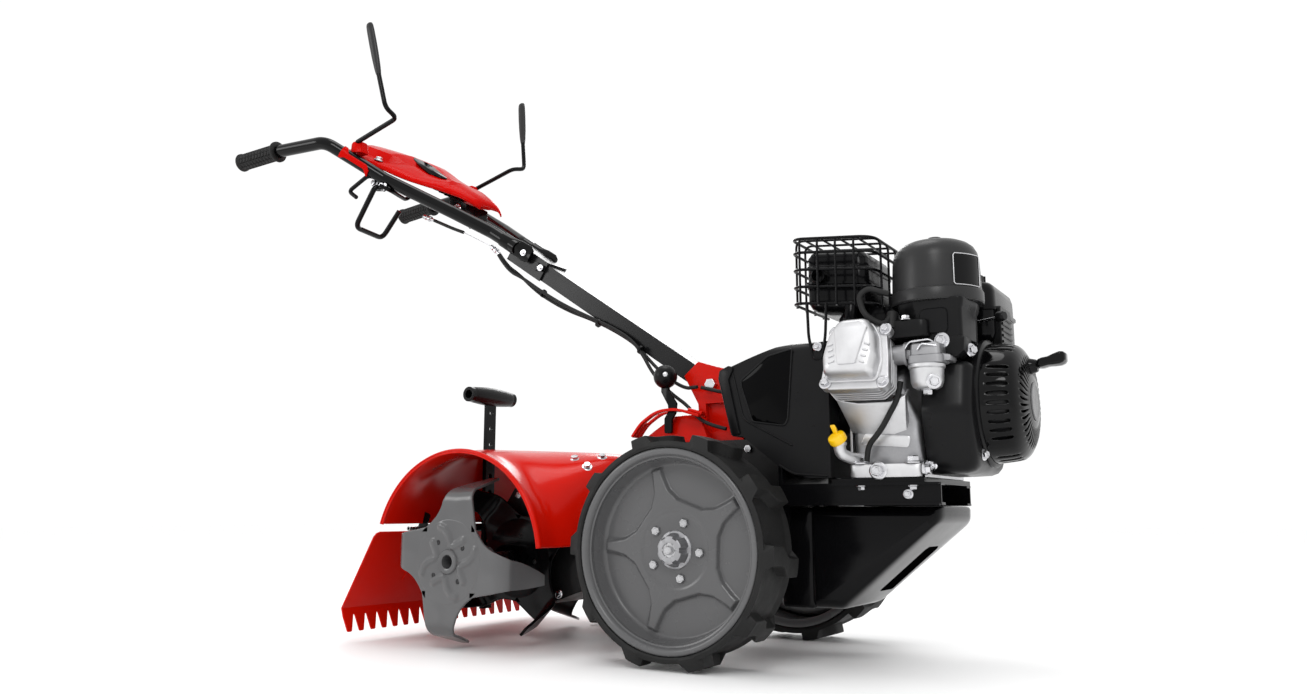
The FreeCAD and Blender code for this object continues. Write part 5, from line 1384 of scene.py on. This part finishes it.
def build_flap():
    """Bent sheet flap with a comb of teeth, its hinge, and the bolts of the hood."""
    half, pitch = 262, 26.2
    top, fold, foot = (-563, 186), (-637.5, 58), (-626.5, 18)

    def on_sheet(start, end):
        """Maps (y, part way down, depth) onto one flat of the flap."""
        slope = Vector((end[0] - start[0], 0, end[1] - start[1])).normalized()
        face = Vector((-slope.z, 0, slope.x))
        def place(y, part, depth):
            point = mm(start[0] + (end[0] - start[0]) * part, y,
                start[1] + (end[1] - start[1]) * part)
            return point + face * depth * MM
        return place

    sheet = [(-half + 10, 0), (-half + 3, 0.02), (-half, 0.07), (-half, 1), (half, 1), (half, 0.07),
        (half - 3, 0.02), (half - 10, 0)]
    panel = block("flap_sheet", sheet, [(0, 0), (2.6, 0)], on_sheet(top, fold), RED, "flap", 35,
        0.7)
    comb = [(half, 0), (-half, 0)]
    for tooth in range(20):
        start = -half + tooth * pitch
        comb += [(start + 0.4, 0.36), (start + 5.5, 0.97), (start + 7.5, 1), (start + 13.5, 1),
            (start + 15.5, 0.97), (start + 22.2, 0.4), (start + 23.2, 0.32), (start + 24.6, 0.29),
            (start + 25.8, 0.32)]
    comb[-3:] = [(half, 0.3)]
    block("flap_comb", comb, [(0, 0), (2.6, 0)], on_sheet(fold, foot), RED, "flap", 35, 0.5)
    swage = rounded([(-150, 0.22), (150, 0.22), (150, 0.66), (-150, 0.66)], 0.03)
    block("flap_swage", [(y, part) for y, part in swage], [(1.4, 0), (4.0, 0)], on_sheet(top, fold),
        RED, "flap", 20, 0.9)
    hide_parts("rear_flap")
    lathe("flap_barrel", [(-150, 4.4), (-150, 7.6), (150, 7.6), (150, 4.4)], mm(-557, 0, 190), LEFT,
        BLACK_PAINT, "flap", 24, closed=True)
    lathe("hinge_rod", [(-192, 2.6), (-192, 4), (192, 4), (192, 2.6)], mm(-557, 0, 190), LEFT,
        STEEL, "chassis", 24, closed=True)
    for side, name in SIDES:
        block(f"hinge_ear_{name}", rounded([(-568, 182), (-548, 182), (-536, 214), (-552, 220)], 4),
            [(160 * side, 0), (163 * side, 0)], side_view, BLACK_PAINT, "chassis", 35, 0.5)
    heads = []
    for angle, part in HOOD_BOLTS:
        at = hood_point(math.radians(angle), part)
        run = hood_point(math.radians(angle + 1), part) - hood_point(math.radians(angle - 1), part)
        over = hood_point(math.radians(angle), part + 0.01) - hood_point(math.radians(angle),
            part - 0.01)
        out = run.cross(over)
        out = out if out.z > 0 else -out
        heads.append((at, out.normalized(), 11))
    bolts("hood_bolts", heads)


build_flap()


def arc_strip(name, path, across, thickness, look, body="chassis"):
    """A strip bent along a path of (x, z) pairs and carried across from one y to another."""
    points = [mm(x, y, z) for y in across for x, z in path]
    strip = fix_normals(add_mesh(name, points, grid_faces(len(across), len(path)), look, body))
    thicken(strip, thickness * MM)
    soften(strip, 0.8 * MM)
    return strip


def build_gear_gate():
    """Domed gearbox cover, the hoop beside the gear gate, and the gear lever with its knob."""
    dome = block("gear_cover", rounded([(-168, 329), (-36, 329), (-50, 368), (-66, 374),
        (-100, 373), (-138, 350)], [4, 4, 14, 18, 26, 30], 7), soft_levels(-62, 62, 3), side_view,
        RED, "chassis", 30)
    outer = route([(-168, 0, 341), (-152, 0, 362), (-120, 0, 382), (-82, 0, 384), (-40, 0, 371)],
        26, 10)
    hoop = [((spot - AXLE).x / MM, (spot - AXLE).z / MM + 165) for spot in outer]
    for name, path, across in (("near", hoop, (-87, -78)), ("far", hoop, (-66, -60)),
            ("rear", hoop[:9], (-78, -66)), ("front", hoop[-2:], (-78, -66))):
        arc_strip(f"gear_hoop_{name}", path, across, 4.5, RED)
    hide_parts("gearbox_top_cover")
    lathe("gear_knob", [(-19.6 * math.cos(math.pi * step / 20),
        19.6 * math.sin(math.pi * step / 20)) for step in range(1, 19)] + [(18.8, 6.2), (17.5, 5.8),
        (17.5, 0.5)], mm(-110, -72, 437), (0.5, -0.86, 0.1), BLACK_PLASTIC, "shift", 48, 40)
    lathe("gear_knob_screw", [(16, 4.2), (18.4, 4), (18.8, 3.4), (18.8, 0.5)], mm(-110, -72, 437),
        (0.5, -0.86, 0.1), CHROME, "shift", 24)
    strap = block("gear_strap", rounded([(-117, 424), (-103, 424), (-103, 414), (-88, 392),
        (-90, 376), (-97, 366), (-97, 344), (-111, 344), (-111, 368), (-103, 380), (-104, 390),
        (-117, 412)], 4), [(-74.5, 0.6), (-74, 0), (-70, 0), (-69.5, 0.6)], side_view, BLACK_PAINT,
        "shift")
    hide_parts("gear_lever")


def build_stake_grip():
    """Barrel-shaped hollow grip across the top of the depth stake."""
    profile = [(-40, 0.5), (-40, 8), (-61, 8), (-62.5, 9.4), (-62.5, 11.4), (-60, 13), (-48, 14.8),
        (-30, 16.4), (-10, 17.4), (10, 17.4), (30, 16.4), (48, 14.8), (60, 13), (62.5, 11.4),
        (62.5, 0.5)]
    grip = lathe("stake_grip", profile, mm(-545, 0, 436), LEFT, BLACK_PLASTIC, "stake", 64, 40)


def build_fork():
    """Flattened lower ends of the handlebar tubes and the bolts of the fork clamp."""
    up = Vector((0.55, 0, 0.84))
    heads = []
    for side, name in SIDES:
        sections = []
        for x, y, z, tall, thick in ((-484, 44.6, 729, 14.2, 14.2), (-466, 43.6, 717, 14.3, 14.3),
                (-457, 41.5, 711, 15.4, 9.5), (-448, 38, 706, 16.2, 5), (-430, 37, 694, 16.2, 3.6),
                (-424, 37, 690, 12, 3.4)):
            sections.append([mm(x, y * side, z) + (up * tall * math.cos(angle)
                + Vector((0, thick * math.sin(angle), 0))) * MM for angle in turns(32)])
        end = tidy_shape(loft(f"tube_end_{name}", sections, GLOSS_PLASTIC, "handle"), 50)
        heads += [(mm(-439, 40.6 * side, 698), (0, side, 0), 7.5),
            (mm(-404, 33.2 * side, 666), (0, side, 0), 7.5)]
    bolts("fork_bolts", heads, body="handle")


build_gear_gate()
build_stake_grip()
build_fork()


# ---- stage ----


def build_stage():
    """A pale floor, soft lights and the camera."""
    bpy.ops.mesh.primitive_plane_add(size=30, location=(0, 0, CAD_BOX[0][2]))
    floor = bpy.context.object
    floor.name = "studio_floor"
    look = Look("studio_white", (0.96, 0.96, 0.96), 0.7)
    look.tint(look.noise(0.6, 2), (0.95, 0.95, 0.95), 0.5)
    floor.data.materials.append(look.material)

    world = bpy.data.worlds.new("studio")
    world.use_nodes = True
    back = world.node_tree.nodes["Background"]
    back.inputs["Color"].default_value = (1, 1, 1, 1)
    back.inputs["Strength"].default_value = 1.04
    bpy.context.scene.world = world

    for name, at, size, power in (("key", (1.0, -2.6, 2.2), 1.1, 30),
            ("fill", (-2.6, -2.4, 1.3), 1.2, 18), ("top", (-0.3, 0.2, 3.2), 1.6, 22),
            ("rim", (-1.5, 2.6, 1.8), 1.2, 16)):
        lamp = bpy.data.lights.new(name, "AREA")
        lamp.shape = "DISK"
        lamp.size = size
        lamp.energy = power
        holder = bpy.data.objects.new(name, lamp)
        bpy.context.collection.objects.link(holder)
        holder.location = AXLE + Vector(at)
        holder.rotation_euler = (AXLE - holder.location).to_track_quat("-Z", "Y").to_euler()

    camera = bpy.data.cameras.new("camera")
    camera.sensor_width = 36
    camera.lens = 28.16
    camera.clip_start = 0.05
    holder = bpy.data.objects.new("camera", camera)
    bpy.context.collection.objects.link(holder)
    yaw, pitch = math.radians(31.7), math.radians(9.22)
    aim = Vector((-math.sin(yaw) * math.cos(pitch), math.cos(yaw) * math.cos(pitch),
        math.sin(pitch)))
    holder.location = AXLE + Vector((0.7472, -1.4971, 0.0516))
    holder.rotation_euler = aim.to_track_quat("-Z", "Y").to_euler()
    bpy.context.scene.camera = holder
    bpy.context.scene.view_settings.view_transform = "Standard"


build_stage()
